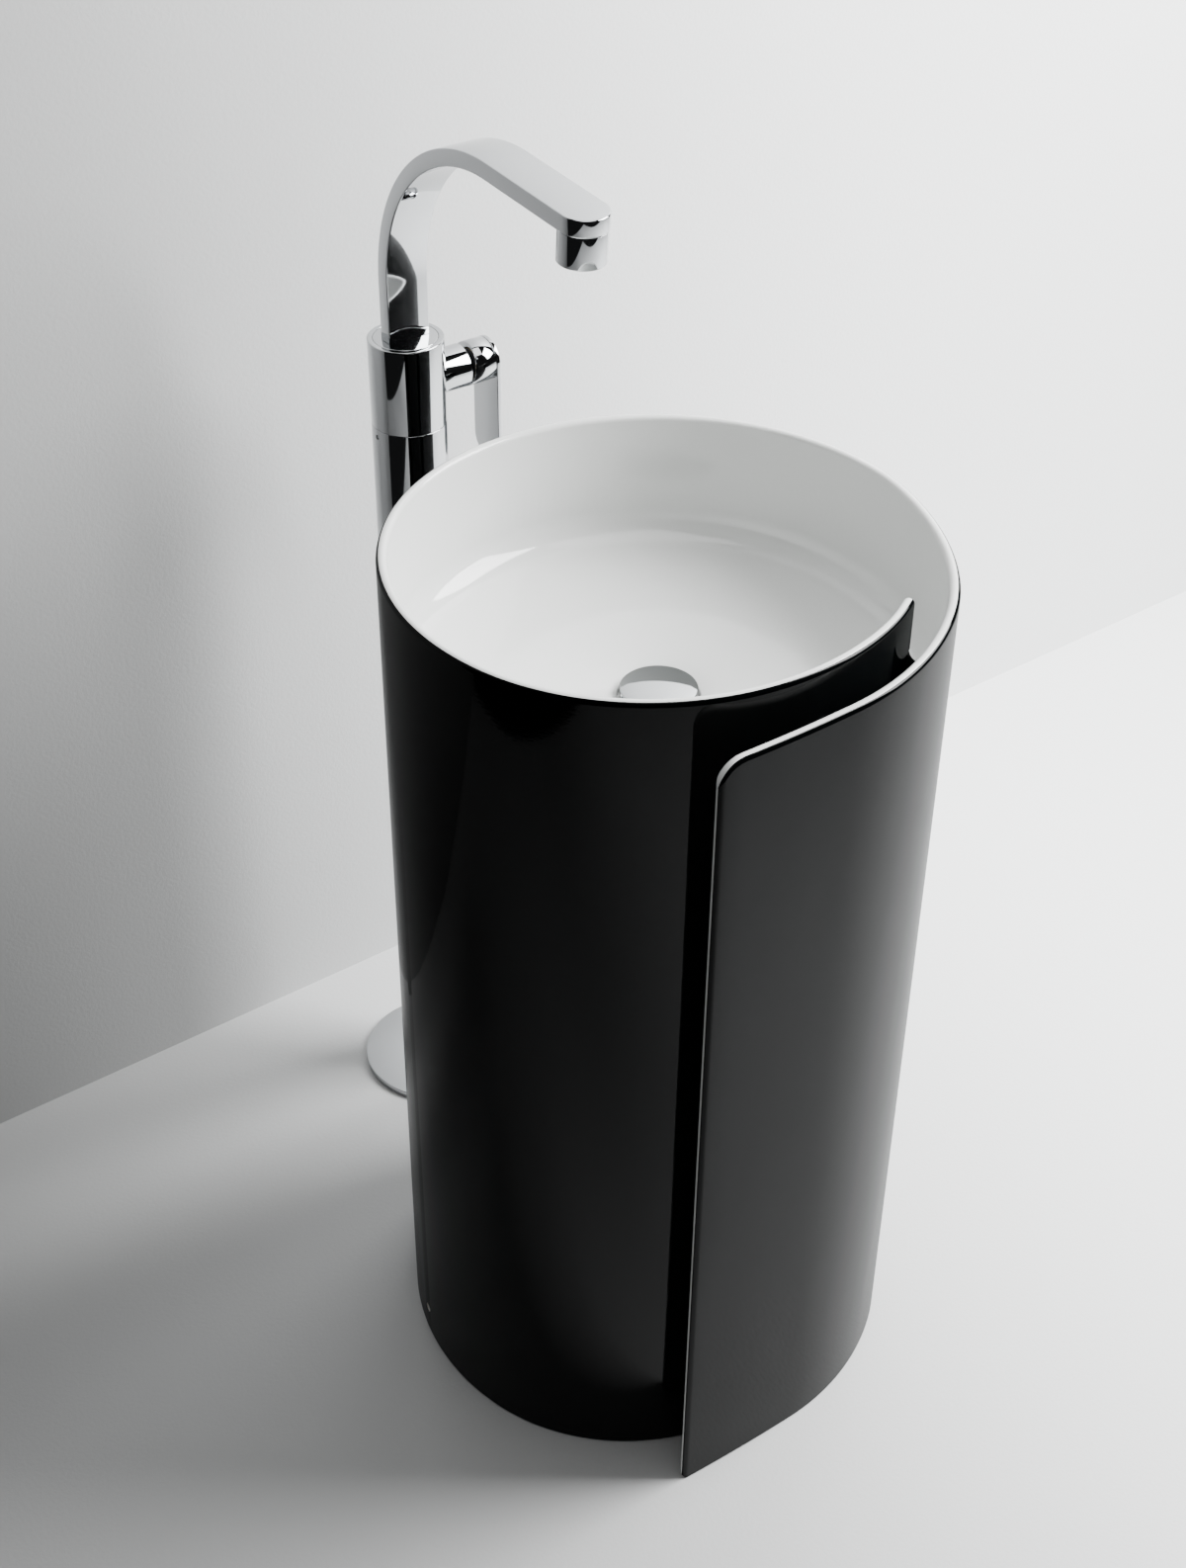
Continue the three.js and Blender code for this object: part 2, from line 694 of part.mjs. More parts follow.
// Side outline of the bent band in (y, z), thinned by `inset` on each face, its arm as long as stated.
function bandOutline(inset, arm) {
  const half = bandThickness / 2 - inset;
  const bottom = columnTop + gap;
  const turn = Math.PI / 2 + fallTurn;
  const [cos, sin] = [Math.cos(turn), Math.sin(turn)];
  const armEnd = (radius) => [
    -bendCentreReach + radius * cos - arm * sin, bendCentreHeight + radius * sin + arm * cos,
  ];
  const outer = bendCentreReach + half;
  const inner = bendCentreReach - half;
  const outline = new THREE.Shape();
  outline.moveTo(-half, bottom);
  outline.lineTo(half, bottom);
  outline.lineTo(half, bendCentreHeight);
  outline.absarc(-bendCentreReach, bendCentreHeight, outer, 0, turn, false);
  outline.lineTo(...armEnd(outer));
  outline.lineTo(...armEnd(inner));
  outline.absarc(-bendCentreReach, bendCentreHeight, inner, turn, 0, true);
  return outline;
}

// Lays a solid drawn about the middle of the band over the outlet into its place.
function atOutlet(solid) {
  return solid.rotate([armFall, 0, 0]).translate([0, -outletReach, outletHeight]);
}

// Turns a (y, z) outline raised along Z into one raised along X.
function acrossX(solid) {
  return solid.rotate([90, 0, 0]).rotate([0, 0, 90]);
}

function spoutBand() {
  const half = bandWidth / 2;
  const bendSteps = 12;
  const bevel = 1;
  const settings = {
    depth: bandWidth - 2 * bevel, bevelEnabled: true, bevelThickness: bevel, bevelSize: bevel,
    bevelOffset: -bevel, bevelSegments: 1, curveSegments: bendSteps,
  };
  const flat = new THREE.ExtrudeGeometry(bandOutline(0, armLength + half), settings);
  const bent = acrossX(solidOf(flat.translate(0, 0, bevel - half)));
  const plan = new THREE.Shape();
  const behind = outletReach + 60;
  plan.moveTo(half, behind);
  plan.lineTo(-half, behind);
  plan.lineTo(-half, 0);
  plan.absarc(0, 0, half, Math.PI, 2 * Math.PI, false);
  plan.lineTo(half, behind);
  const band = bent.intersect(atOutlet(raised(plan, -outletReach, 80, 10)));
  const wayHalf = 12;
  const wall = 3;
  const mouthHalf = bandThickness / 2 - wall;
  const way = acrossX(raised(bandOutline(wall, armLength), -wayHalf, wayHalf, 8));
  const mouth = block([-wayHalf, -mouthHalf, columnTop - 5], [wayHalf, mouthHalf, columnTop + 10]);
  const outlet = atOutlet(bar(wayHalf, -bandThickness, mouthHalf));
  return band.subtract(way).subtract(mouth).subtract(outlet);
}

function swivelBase() {
  const foot = columnTop - discThickness;
  const bore = 8;
  const bevel = 0.5;
  const points = [[bore, spigotPinBottom], [spigotPin, spigotPinBottom]];
  for (const groove of ringGrooves) {
    const low = spigotPinBottom + groove;
    const high = low + grooveHeight;
    const bottom = spigotPin - grooveDepth;
    points.push([spigotPin, low], [bottom, low], [bottom, high], [spigotPin, high]);
  }
  points.push([spigotPin, foot], [discRadius, foot], [discRadius, columnTop - bevel]);
  points.push([discRadius - bevel, columnTop], [bore, columnTop]);
  return turned(points);
}

function swivelRing(groove) {
  const low = spigotPinBottom + groove + gap;
  return tube(spigotPin - grooveDepth + gap, spigotPin + 1.4, low, low + grooveHeight - 2 * gap);
}

// Round outlet under the band: the sleeve seen from outside, open below round the insert.
function aeratorHousing(low, high) {
  const bevel = 0.6;
  const lip = 2;
  const floor = low + 3;
  return turned([
    [outletBore - lip, low], [outletRadius - bevel, low], [outletRadius, low + bevel], [outletRadius, high],
    [outletBore, high], [outletBore, floor], [outletBore - lip, floor],
  ], fine);
}

function spoutGroup() {
  const group = new THREE.Group();
  group.add(
    named('spout', spoutBand(), chrome),
    named('swivel_base', swivelBase(), chrome),
    named('swivel_oring_lower', swivelRing(ringGrooves[0]), rubber),
    named('swivel_oring_upper', swivelRing(ringGrooves[1]), rubber),
  );
  // The outlet is drawn about the middle of the band over it.
  const outlet = new THREE.Group();
  outlet.position.set(0, -outletReach, outletHeight);
  outlet.rotation.x = radians(armFall);
  const high = -bandThickness / 2 - gap;
  const low = high - outletLength;
  const insert = [low + 3.3, low + 13];
  const seal = [insert[1] + gap, insert[1] + 3];
  const nipple = [seal[1] + gap, high];
  outlet.add(
    named('outlet_nipple', tube(12.5, outletBore - gap, ...nipple), brass),
    named('aerator_housing', aeratorHousing(low, high), chrome),
    named('aerator_insert', bar(outletBore - gap, ...insert), blackPlastic),
    named('aerator_seal', tube(10, outletBore - gap, ...seal), rubber),
  );
  group.add(outlet);
  return group;
}

// ---------------------------------------------------------------- handle
function leverHub() {
  const wedge = polygon([
    [hubStartHigh, handleRadius + 1], [hubEnd, handleRadius + 1], [hubEnd, -handleRadius - 1],
    [hubStartLow, -handleRadius - 1],
  ]);
  // The outline is drawn with x out of the column and y up, and laid into the handle's frame.
  const side = raised(wedge, -30, 30).rotate([0, -90, 0]).rotate([0, 0, 90]);
  const hub = bar(handleRadius, hubStartLow - 1, hubEnd, fine).intersect(side);
  const stemBore = bar(5.3, stubEnd - 4, stemEnd + 0.5);
  const screwBore = bar(1.9, stemEnd - 2, hubEnd + 5);
  const grubBore = bar(2.3, 4, 30).rotate([0, 90, 0]).translate([0, 0, grubReach]);
  return hub.subtract(stemBore).subtract(screwBore).subtract(grubBore);
}

function leverBlade() {
  const plan = new THREE.Shape();
  plan.moveTo(0, handleRadius);
  plan.absarc(0, 0, handleRadius, Math.PI / 2, 1.5 * Math.PI, false);
  plan.lineTo(bladeReach, -handleRadius);
  plan.absarc(bladeReach, 0, handleRadius, -Math.PI / 2, Math.PI / 2, false);
  plan.lineTo(0, handleRadius);
  const plate = raised(plan, hubEnd + gap, hubEnd + gap + bladeThickness, 12);
  return plate.subtract(bar(4.3, hubEnd + 2.5, hubEnd + 10)).subtract(bar(1.9, hubEnd - 1, hubEnd + 10));
}

// Turning cover of the cartridge, seen in the wedge gap behind the hub.
function cartridgeCarrier() {
  const [bore, neck, brow, crown] = [6, 11, 17.8, 16.5];
  const [low, step, high] = [stubEnd - 7.7, stubEnd - 2, stubEnd + 0.5];
  return turned([[bore, low], [neck, low], [neck, step], [brow, step], [crown, high], [bore, high]]);
}

// Spindle of the lever, with a slim inner end that tilts inside the cartridge.
function leverStem() {
  const [slim, thick] = [3.3, 4.8];
  const [low, step, high] = [stubEnd - 7, stubEnd + 6, stemEnd];
  return turned([[0, low], [slim, low], [slim, step], [thick, step], [thick, high], [0, high]]);
}

function bladeScrew() {
  const [shank, head] = [1.5, 3.8];
  const [low, step, high] = [stemEnd + gap, hubEnd + 3, hubEnd + 3.7];
  return turned([[0, low], [shank, low], [shank, step], [head, step], [head, high], [0, high]]);
}

// Button over the blade's screw, standing a little proud of the blade.
function indexButton() {
  const radius = 3.9;
  const bevel = 0.5;
  const low = hubEnd + 4;
  const high = hubEnd + gap + bladeThickness + 1.8;
  return turned([[0, low], [radius, low], [radius, high - bevel], [radius - bevel, high], [0, high]]);
}

function handleGroup() {
  const group = new THREE.Group();
  group.rotation.y = Math.PI / 2;
  group.position.z = handleHeight;
  group.add(
    named('handle_stub', tube(pocketRadius + gap, stubRadius, stubStart, stubEnd, fine), chrome),
    named('cartridge_body', tube(6, pocketRadius - 0.8, pocketStart + gap, stubEnd - 8), whitePlastic),
    named('cartridge_nut', tube(11.5, pocketRadius, stubEnd - 7.7, stubEnd - 2.5), brass),
    named('cartridge_carrier', cartridgeCarrier(), blackPlastic),
    named('lever_stem', leverStem(), satinSteel),
    named('lever_hub', leverHub(), chrome),
    named('lever_blade', leverBlade(), chrome),
    named('blade_screw', bladeScrew(), satinSteel),
    named('index_button', indexButton(), satinSteel),
  );
  const grub = named('hub_grub_screw', socketScrew(2, 5.2, 14), satinSteel);
  grub.rotation.y = Math.PI / 2;
  grub.position.z = grubReach;
  group.add(grub);
  return group;
}

// ---------------------------------------------------------------- assembly
const basin = new THREE.Group();
basin.add(named('basin_body', basinBody(), blackGlaze));
basin.add(sideFixing('right', sideScrewAngle));
basin.add(sideFixing('left', 180 - sideScrewAngle));
basin.add(wasteAndTrap());

const mixer = new THREE.Group();
mixer.position.y = mixerDistance;
mixer.add(columnGroup(), spoutGroup(), handleGroup());

const sink = new THREE.Group();
const middle = (mixerDistance + flangeRadius - flapRadius) / 2;
sink.add(basin, mixer);
sink.position.y = -middle;
sink.updateMatrixWorld(true);

export default sink;
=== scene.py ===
"""A standing washbasin rolled from one ceramic sheet, with its floor-standing mixer.

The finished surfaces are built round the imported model. Run it as a script.
"""
import json
import math

import bmesh
import bpy
from mathutils import Matrix, Vector


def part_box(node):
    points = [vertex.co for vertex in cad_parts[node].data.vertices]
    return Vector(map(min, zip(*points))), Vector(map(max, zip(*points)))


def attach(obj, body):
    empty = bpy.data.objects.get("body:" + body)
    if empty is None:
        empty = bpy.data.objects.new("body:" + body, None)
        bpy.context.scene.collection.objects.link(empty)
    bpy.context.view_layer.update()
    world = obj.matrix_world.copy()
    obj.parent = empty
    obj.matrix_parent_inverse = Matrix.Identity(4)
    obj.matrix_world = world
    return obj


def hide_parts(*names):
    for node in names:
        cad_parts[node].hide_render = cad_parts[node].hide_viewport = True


bl_info = {
    "name": "Rolled washbasin",
    "version": (1, 0, 0),
    "blender": (4, 5, 0),
    "location": "View3D > Sidebar > Washbasin",
    "description": "Builds the finished washbasin and mixer round their packed model",
    "category": "Object",
}

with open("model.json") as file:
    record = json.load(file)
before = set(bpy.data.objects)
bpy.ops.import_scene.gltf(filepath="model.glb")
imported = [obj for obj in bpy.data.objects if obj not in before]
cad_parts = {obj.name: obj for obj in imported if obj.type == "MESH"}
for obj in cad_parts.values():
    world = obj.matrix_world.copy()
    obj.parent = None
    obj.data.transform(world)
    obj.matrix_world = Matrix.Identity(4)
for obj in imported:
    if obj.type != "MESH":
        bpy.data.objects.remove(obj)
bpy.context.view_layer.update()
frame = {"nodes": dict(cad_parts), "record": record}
MM = 0.001

# ------------------------------------------------------------------ places taken from the frame


def middle(node):
    """Centre of a node's box."""
    low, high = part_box(node)
    return (low + high) / 2


BODY_LOW, BODY_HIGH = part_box("basin_body")
ROLL = Vector((0, middle("waste_cap").y, 0))
MIXER = Vector((0, middle("column_tube").y, 0))
LEVER = middle("handle_stub")
FLAP_RADIUS = ROLL.y - BODY_LOW.y


# ------------------------------------------------------------------ sizes and colours to change


class BasinSizes(bpy.types.PropertyGroup):
    """Sizes of the rolled ceramic body."""

    roll_radius: bpy.props.FloatProperty(
        name="Roll radius", description="Outer radius of the round", default=BODY_HIGH.x, unit="LENGTH")
    thickness: bpy.props.FloatProperty(
        name="Sheet", description="Thickness of the ceramic sheet", default=9 * MM, unit="LENGTH")
    tail_inset: bpy.props.FloatProperty(
        name="Tail inset", description="How far the inner tail lies inside the round",
        default=22 * MM, unit="LENGTH")
    rim_drop: bpy.props.FloatProperty(
        name="Rim drop", description="How far the rim falls along the outer lap",
        default=25 * MM, unit="LENGTH")
    flap_length: bpy.props.FloatProperty(
        name="Flap", description="Flat length of the flap past the front",
        default=126 * MM, unit="LENGTH")
    flap_corner: bpy.props.FloatProperty(
        name="Flap corner", description="Radius of the flap's upper corner",
        default=22 * MM, unit="LENGTH")
    bowl_fillet: bpy.props.FloatProperty(
        name="Bowl fillet", description="Radius between the bowl's floor and its wall",
        default=28 * MM, unit="LENGTH")


class MixerSizes(bpy.types.PropertyGroup):
    """Sizes of the mixer's visible pieces."""

    band_width: bpy.props.FloatProperty(
        name="Spout width", description="Width of the flat band", default=42.4 * MM, unit="LENGTH")
    band_thickness: bpy.props.FloatProperty(
        name="Spout thickness", description="Thickness of the flat band", default=15 * MM, unit="LENGTH")
    bend_reach: bpy.props.FloatProperty(
        name="Bend", description="Radius of the bend to the middle of the band",
        default=155 * MM, unit="LENGTH")
    arm_fall: bpy.props.FloatProperty(
        name="Fall", description="How far the arm points below level",
        default=math.radians(4.2), unit="ROTATION")
    outlet_reach: bpy.props.FloatProperty(
        name="Reach", description="From the column's axis to the outlet",
        default=271.5 * MM, unit="LENGTH")
    outlet_length: bpy.props.FloatProperty(
        name="Outlet", description="Length of the round outlet", default=27.5 * MM, unit="LENGTH")
    edge: bpy.props.FloatProperty(
        name="Edge", description="Radius of the band's long edges", default=1.3 * MM, unit="LENGTH")
    disc_radius: bpy.props.FloatProperty(
        name="Swivel disc", description="Radius of the disc that turns with the spout",
        default=29.7 * MM, unit="LENGTH")


class SinkColours(bpy.types.PropertyGroup):
    """Colours of the glazes and metals."""

    outer_glaze: bpy.props.FloatVectorProperty(
        name="Outer glaze", description="Colour of the outside", subtype="COLOR",
        default=(0.0006, 0.0009, 0.001))
    inner_glaze: bpy.props.FloatVectorProperty(
        name="Inner glaze", description="Colour of the bowl and rim", subtype="COLOR",
        default=(0.62, 0.63, 0.62))
    chrome: bpy.props.FloatVectorProperty(
        name="Chrome", description="Colour of the plated pieces", subtype="COLOR",
        default=(0.42, 0.43, 0.44))
    room: bpy.props.FloatVectorProperty(
        name="Room", description="Colour of the wall and the floor", subtype="COLOR",
        default=(0.88, 0.89, 0.89))


class StageSettings(bpy.types.PropertyGroup):
    """Camera and wall."""

    camera_place: bpy.props.FloatVectorProperty(
        name="Camera", description="Where the camera stands", subtype="XYZ",
        default=(-0.948, ROLL.y - 1.193, 1.751))
    camera_aim: bpy.props.FloatVectorProperty(
        name="Aim", description="Direction that the camera looks in", subtype="XYZ",
        default=(0.4756, 0.6442, -0.5990))
    camera_tilt: bpy.props.FloatProperty(
        name="Tilt", description="Roll of the camera", default=0.0106, unit="ROTATION")
    lens: bpy.props.FloatProperty(name="Lens", description="Focal length in mm", default=50.68)
    wall_distance: bpy.props.FloatProperty(
        name="Wall", description="Distance of the wall behind the origin",
        default=ROLL.y + 0.5645, unit="LENGTH")


# ------------------------------------------------------------------ meshes


def add_piece(name, vertices, faces, finishes, face_finish=None, sharp=40, closed=True):
    """A mesh object from points and faces, smooth except at edges sharper than `sharp` degrees.

    A closed piece has its faces turned outwards; an open one keeps the sides that it was given.
    """
    mesh = bpy.data.meshes.new(name)
    mesh.from_pydata([tuple(v) for v in vertices], [], faces)
    for finish in finishes:
        mesh.materials.append(finish)
    if face_finish:
        mesh.polygons.foreach_set("material_index", face_finish)
    work = bmesh.new()
    work.from_mesh(mesh)
    bmesh.ops.remove_doubles(work, verts=work.verts, dist=1e-6)
    bmesh.ops.dissolve_degenerate(work, dist=1e-7, edges=work.edges)
    if closed:
        bmesh.ops.recalc_face_normals(work, faces=work.faces)
    work.to_mesh(mesh)
    work.free()
    mesh.shade_smooth()
    mesh.set_sharp_from_angle(angle=math.radians(sharp))
    piece = bpy.data.objects.new(name, mesh)
    bpy.context.scene.collection.objects.link(piece)
    return piece


def settle(piece, body, slot, *nodes):
    """Ties a finished piece to its body and hides the nodes that it stands for; `slot` is not used."""
    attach(piece, body)
    if nodes:
        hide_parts(*nodes)
    return piece


def skin(rings, ends=True, wrap=False):
    """Faces over rings of equal length: each ring is closed, and the ends are capped or joined."""
    count = len(rings[0])
    faces = []
    spans = len(rings) if wrap else len(rings) - 1
    for s in range(spans):
        here = s * count
        there = (s + 1) % len(rings) * count
        for k in range(count):
            after = (k + 1) % count
            faces.append((here + k, here + after, there + after, there + k))
    if ends and not wrap:
        last = (len(rings) - 1) * count
        faces.append(tuple(range(count)))
        faces.append(tuple(range(last + count - 1, last - 1, -1)))
    points = [point for ring in rings for point in ring]
    return points, faces


def turned(profile, centre, sides=128, axis="Z"):
    """Points and faces of a piece turned from (radius, height) points that go round its section."""
    rings = []
    for k in range(sides):
        turn = 2 * math.pi * k / sides
        ring = []
        for radius, height in profile:
            across = (radius * math.cos(turn), radius * math.sin(turn))
            if axis == "Z":
                local = Vector((across[0], across[1], height))
            else:
                local = Vector((height, across[0], across[1]))
            ring.append(centre + local)
        rings.append(ring)
    return skin(rings, wrap=True)


def rounded(corners, steps=5):
    """A closed outline with its corners rounded; a corner is (x, y, radius)."""
    outline = []
    count = len(corners)
    for k, (x, y, radius) in enumerate(corners):
        corner = Vector((x, y))
        if radius <= 0:
            outline.append((x, y))
            continue
        before = (Vector(corners[k - 1][:2]) - corner).normalized()
        after = (Vector(corners[(k + 1) % count][:2]) - corner).normalized()
        half = before.angle(after) / 2
        reach = radius / math.tan(half)
        centre = corner + (before + after).normalized() * radius / math.sin(half)
        start = corner + before * reach - centre
        end = corner + after * reach - centre
        for s in range(steps + 1):
            arm = start.normalized().slerp(end.normalized(), s / steps) * radius
            outline.append(tuple(centre + arm))
    return outline


# ------------------------------------------------------------------ the plan of the rolled sheet

TIP_ANGLE = -57.0
FRONT_ANGLE = -90.0 - 360.0
TAIL_START = -74.0
TAIL_SPAN = 90.0
LAP_START = -364.0
LAP_SPAN = 50.0
DROP_SPAN = 116.0
DROP_SOFTNESS = 0.08
FLAP_LEAN = 4 * MM
EDGE_RADIUS = 4 * MM
TIP_CORNER = 6 * MM
FOOT_RADIUS = 2 * MM
BOWL_LAST = TIP_ANGLE - 360
BOWL_CLOSING = 9
UNDER_BOWL = 742 * MM
DRAIN_LEDGE = 700 * MM
DRAIN_RIM = 706 * MM
WEB_TOP = 795 * MM


def eased(u):
    u = min(max(u, 0.0), 1.0)
    return u * u * (3 - 2 * u)


def around(radius, angle, height=0.0):
    """Point at a radius and angle about the axis of the roll."""
    turn = math.radians(angle)
    return ROLL + Vector((radius * math.cos(turn), radius * math.sin(turn), height))


def sheet_radius(sizes, angle):
    """Outer radius of the sheet; the tail lies inside the round and the lap outside it."""
    inset = sizes.tail_inset * (1 - eased((TAIL_START - angle) / TAIL_SPAN))
    growth = (FLAP_RADIUS - sizes.roll_radius) * eased((LAP_START - angle) / LAP_SPAN)
    return sizes.roll_radius - inset + growth


def sheet_point(sizes, angle, ahead=0.0):
    """Outer face in plan: round to the front, then the flat flap."""
    if ahead > 0:
        lean = FLAP_LEAN * (ahead / sizes.flap_length) ** 2
        return ROLL + Vector((-ahead, lean - FLAP_RADIUS, 0))
    return around(sheet_radius(sizes, angle), angle)


def sheet_normal(sizes, angle, ahead=0.0):
    """Direction from the inner face to the outer one."""
    turn = 0.02
    step = 1e-4
    if ahead > 0:
        before = sheet_point(sizes, angle, max(step, ahead - step))
        along = sheet_point(sizes, angle, ahead + step) - before
    else:
        along = sheet_point(sizes, angle - turn) - sheet_point(sizes, angle + turn)
    along.normalize()
    return Vector((-along.y, along.x, 0))


def rim_height(sizes, angle, ahead=0.0):
    """The rim falls along the outer lap, gently at first."""
    travelled = LAP_START - angle + math.degrees(ahead / FLAP_RADIUS)
    u = max(0.0, travelled / DROP_SPAN)
    soft = u * u / (u + DROP_SOFTNESS)
    return BODY_HIGH.z - sizes.rim_drop * (1 - (1 - soft) ** 2)


def corner_loss(distance, radius):
    """How much a rounded corner takes off at a distance from the end."""
    inside = max(0.0, radius - distance)
    return radius - math.sqrt(max(0.0, radius ** 2 - inside ** 2))


def end_distances(radii, steps=7):
    """Distances from an end at which its corners need a section."""
    found = {0.0}
    for radius in radii:
        for k in range(1, steps + 1):
            found.add(radius * (1 - math.cos(math.pi / 2 * k / steps)))
    return sorted(found)


# ------------------------------------------------------------------ shaders


class Finish:
    """One material and the one way that nodes are added to it."""

    def __init__(self, name):
        self.material = bpy.data.materials.new(name)
        self.material.use_nodes = True
        self.tree = self.material.node_tree
        self.tree.nodes.clear()
        output = self.tree.nodes.new("ShaderNodeOutputMaterial")
        self.surface = output.inputs["Surface"]

    def node(self, kind, settings=None, inputs=None, output=0):
        """Adds a node, sets it up, fills its sockets and gives one of its outputs as a Reading."""
        made = self.tree.nodes.new(kind)
        for setting, value in (settings or {}).items():
            setattr(made, setting, value)
        for socket, value in (inputs or {}).items():
            self.fill(made.inputs[socket], value)
        return Reading(self, made.outputs[output])

    def fill(self, socket, value):
        if isinstance(value, Reading):
            self.tree.links.new(value.socket, socket)
        elif socket.type == "RGBA" and len(value) == 3:
            socket.default_value = (*value, 1)
        else:
            socket.default_value = value

    def mix(self, factor, first, second):
        """Colour between two colours."""
        sockets = {0: factor, 6: first, 7: second}
        return self.node("ShaderNodeMix", {"data_type": "RGBA"}, sockets, output=2)

    def noise(self, size, detail=2.0, stretch=(1, 1, 1)):
        """Noise whose features are about `size` metres across."""
        place = self.node("ShaderNodeTexCoord", output="Object")
        scaled = self.node("ShaderNodeMapping", inputs={"Vector": place, "Scale": stretch})
        sockets = {"Vector": scaled, "Scale": 1 / size, "Detail": detail}
        return self.node("ShaderNodeTexNoise", inputs=sockets)

    def relief(self, height, depth):
        """Normal from a height that varies from 0 to 1, `depth` metres deep."""
        return self.node("ShaderNodeBump", inputs={"Height": height, "Distance": depth, "Strength": 1.0})

    def shell(self, dulled=0.0, **sockets):
        """The principled shader of the finish, with underscores for spaces in socket names."""
        named = {name.replace("_", " "): value for name, value in sockets.items()}
        shader = self.node("ShaderNodeBsdfPrincipled", inputs=named)
        if dulled:
            matt = self.node("ShaderNodeBsdfDiffuse", inputs={"Color": named["Base Color"]})
            shader = self.node("ShaderNodeMixShader", inputs={0: dulled, 1: shader, 2: matt})
        self.tree.links.new(shader.socket, self.surface)
        return self.material


class Reading:
    """A socket that sums, products and powers can be written with."""

    def __init__(self, finish, socket):
        self.finish = finish
        self.socket = socket

    def _maths(self, operation, first, second=0.0):
        return self.finish.node("ShaderNodeMath", {"operation": operation}, {0: first, 1: second})

    def __add__(self, other):
        return self._maths("ADD", self, other)

    __radd__ = __add__

    def __sub__(self, other):
        return self._maths("SUBTRACT", self, other)

    def __rsub__(self, other):
        return self._maths("SUBTRACT", other, self)

    def __mul__(self, other):
        return self._maths("MULTIPLY", self, other)

    __rmul__ = __mul__

    def __pow__(self, other):
        return self._maths("POWER", self, other)


def glaze(name, colour, unevenness, roughness, shine, dulled=0.0):
    """Fired glaze: glass-smooth, with a slow unevenness and a faint orange peel.

    `dulled` is the share of the surface that is matt in the glaze's own colour and doesn't mirror.
    """
    finish = Finish(name)
    slow = finish.noise(0.09, stretch=(1, 1, 0.5))
    peel = finish.noise(0.006, detail=1.0, stretch=(1, 1, 2.2))
    fleck = finish.noise(0.0025, detail=3.0)
    tone = finish.mix(fleck * 0.25, colour, [value * 0.82 for value in colour])
    height = slow * 0.9 + peel * 0.02
    return finish.shell(
        dulled, Base_Color=tone, Roughness=slow * 0.02 + roughness, IOR=1.5, Specular_IOR_Level=shine,
        Normal=finish.relief(height, unevenness))


def bare_ceramic():
    finish = Finish("bare ceramic")
    grain = finish.noise(0.0012, detail=4.0)
    cloud = finish.noise(0.06)
    tone = finish.mix(cloud, (0.62, 0.60, 0.56), (0.72, 0.70, 0.66))
    return finish.shell(Base_Color=tone, Roughness=grain * 0.2 + 0.7, Normal=finish.relief(grain, 0.0002))


def polished_chrome(colour):
    """Mirror plating, with the faint haze that handling leaves."""
    finish = Finish("polished chrome")
    haze = finish.noise(0.03, detail=3.0)
    tone = finish.mix(haze, colour, [value * 0.97 for value in colour])
    return finish.shell(Base_Color=tone, Metallic=1.0, Roughness=haze * 0.03 + 0.025)


def satin_metal(name, colour, roughness):
    """Machined metal with fine turning marks."""
    finish = Finish(name)
    marks = finish.noise(0.0006, detail=2.0, stretch=(0.2, 0.2, 1))
    patch = finish.noise(0.02)
    tone = finish.mix(patch, colour, [value * 0.85 for value in colour])
    return finish.shell(
        Base_Color=tone, Metallic=1.0, Roughness=marks * 0.15 + roughness,
        Normal=finish.relief(marks, 0.00003))


def moulded(name, colour, roughness):
    """Moulded plastic or rubber with a fine grain."""
    finish = Finish(name)
    grain = finish.noise(0.0008, detail=2.0)
    patch = finish.noise(0.03)
    tone = finish.mix(patch, colour, [value * 0.9 for value in colour])
    return finish.shell(
        Base_Color=tone, Roughness=grain * 0.12 + roughness, Normal=finish.relief(grain, 0.00004))


def braided_steel():
    """Crossed wires round a hose."""
    finish = Finish("braided hose")
    place = finish.node("ShaderNodeTexCoord", output="Object")
    weaves = []
    for lean in (0.9, -0.9):
        turned_place = finish.node(
            "ShaderNodeMapping", inputs={"Vector": place, "Rotation": (0, lean, lean), "Scale": (1, 1, 1)})
        weaves.append(finish.node(
            "ShaderNodeTexWave", {"bands_direction": "Z"}, {"Vector": turned_place, "Scale": 180.0}, output=1))
    weave = weaves[0] * weaves[1]
    tone = finish.mix(weave, (0.2, 0.2, 0.2), (0.72, 0.72, 0.73))
    return finish.shell(
        Base_Color=tone, Metallic=0.9, Roughness=0.5 - weave * 0.2, Normal=finish.relief(weave, 0.0003))


def painted_room(colour):
    """Matt wall and floor paint with a slow change of tone, and painted shade: darker towards the left and
    towards the front, as the light falls off.

    The unpainted side is clear, so that the wall doesn't hide what stands in front of it.
    """
    finish = Finish("studio paint")
    place = finish.node("ShaderNodeTexCoord", output="Object")
    across = finish.node("ShaderNodeSeparateXYZ", inputs={"Vector": place})
    ahead = finish.node("ShaderNodeSeparateXYZ", inputs={"Vector": place}, output=1)
    smooth = {"interpolation_type": "SMOOTHSTEP"}
    # painted shade: the paint is darkened to 0.4 towards the left and to 0.85 towards the front, standing in for
    # the light falling off away from the lamps
    painted_light_across = finish.node("ShaderNodeMapRange", smooth, {"Value": across, "From Min": -0.75, "From Max": 0.9})
    nearer = finish.node("ShaderNodeMapRange", smooth, {"Value": ahead, "From Min": -1.5, "From Max": -0.55})
    cloud = finish.noise(0.8)
    grain = finish.noise(0.004, detail=4.0)
    shaded = [value * 0.4 for value in colour]
    front = [value * 0.85 for value in colour]
    painted_shade_tone = finish.mix(nearer, front, finish.mix(painted_light_across, shaded, colour))
    tone = finish.mix(cloud * 0.06, painted_shade_tone, (0.5, 0.5, 0.5))
    unpainted = finish.node("ShaderNodeNewGeometry", output="Backfacing")
    return finish.shell(
        Base_Color=tone, Roughness=0.55, Normal=finish.relief(grain, 0.00025), Alpha=1 - unpainted)


FINISHES = {}


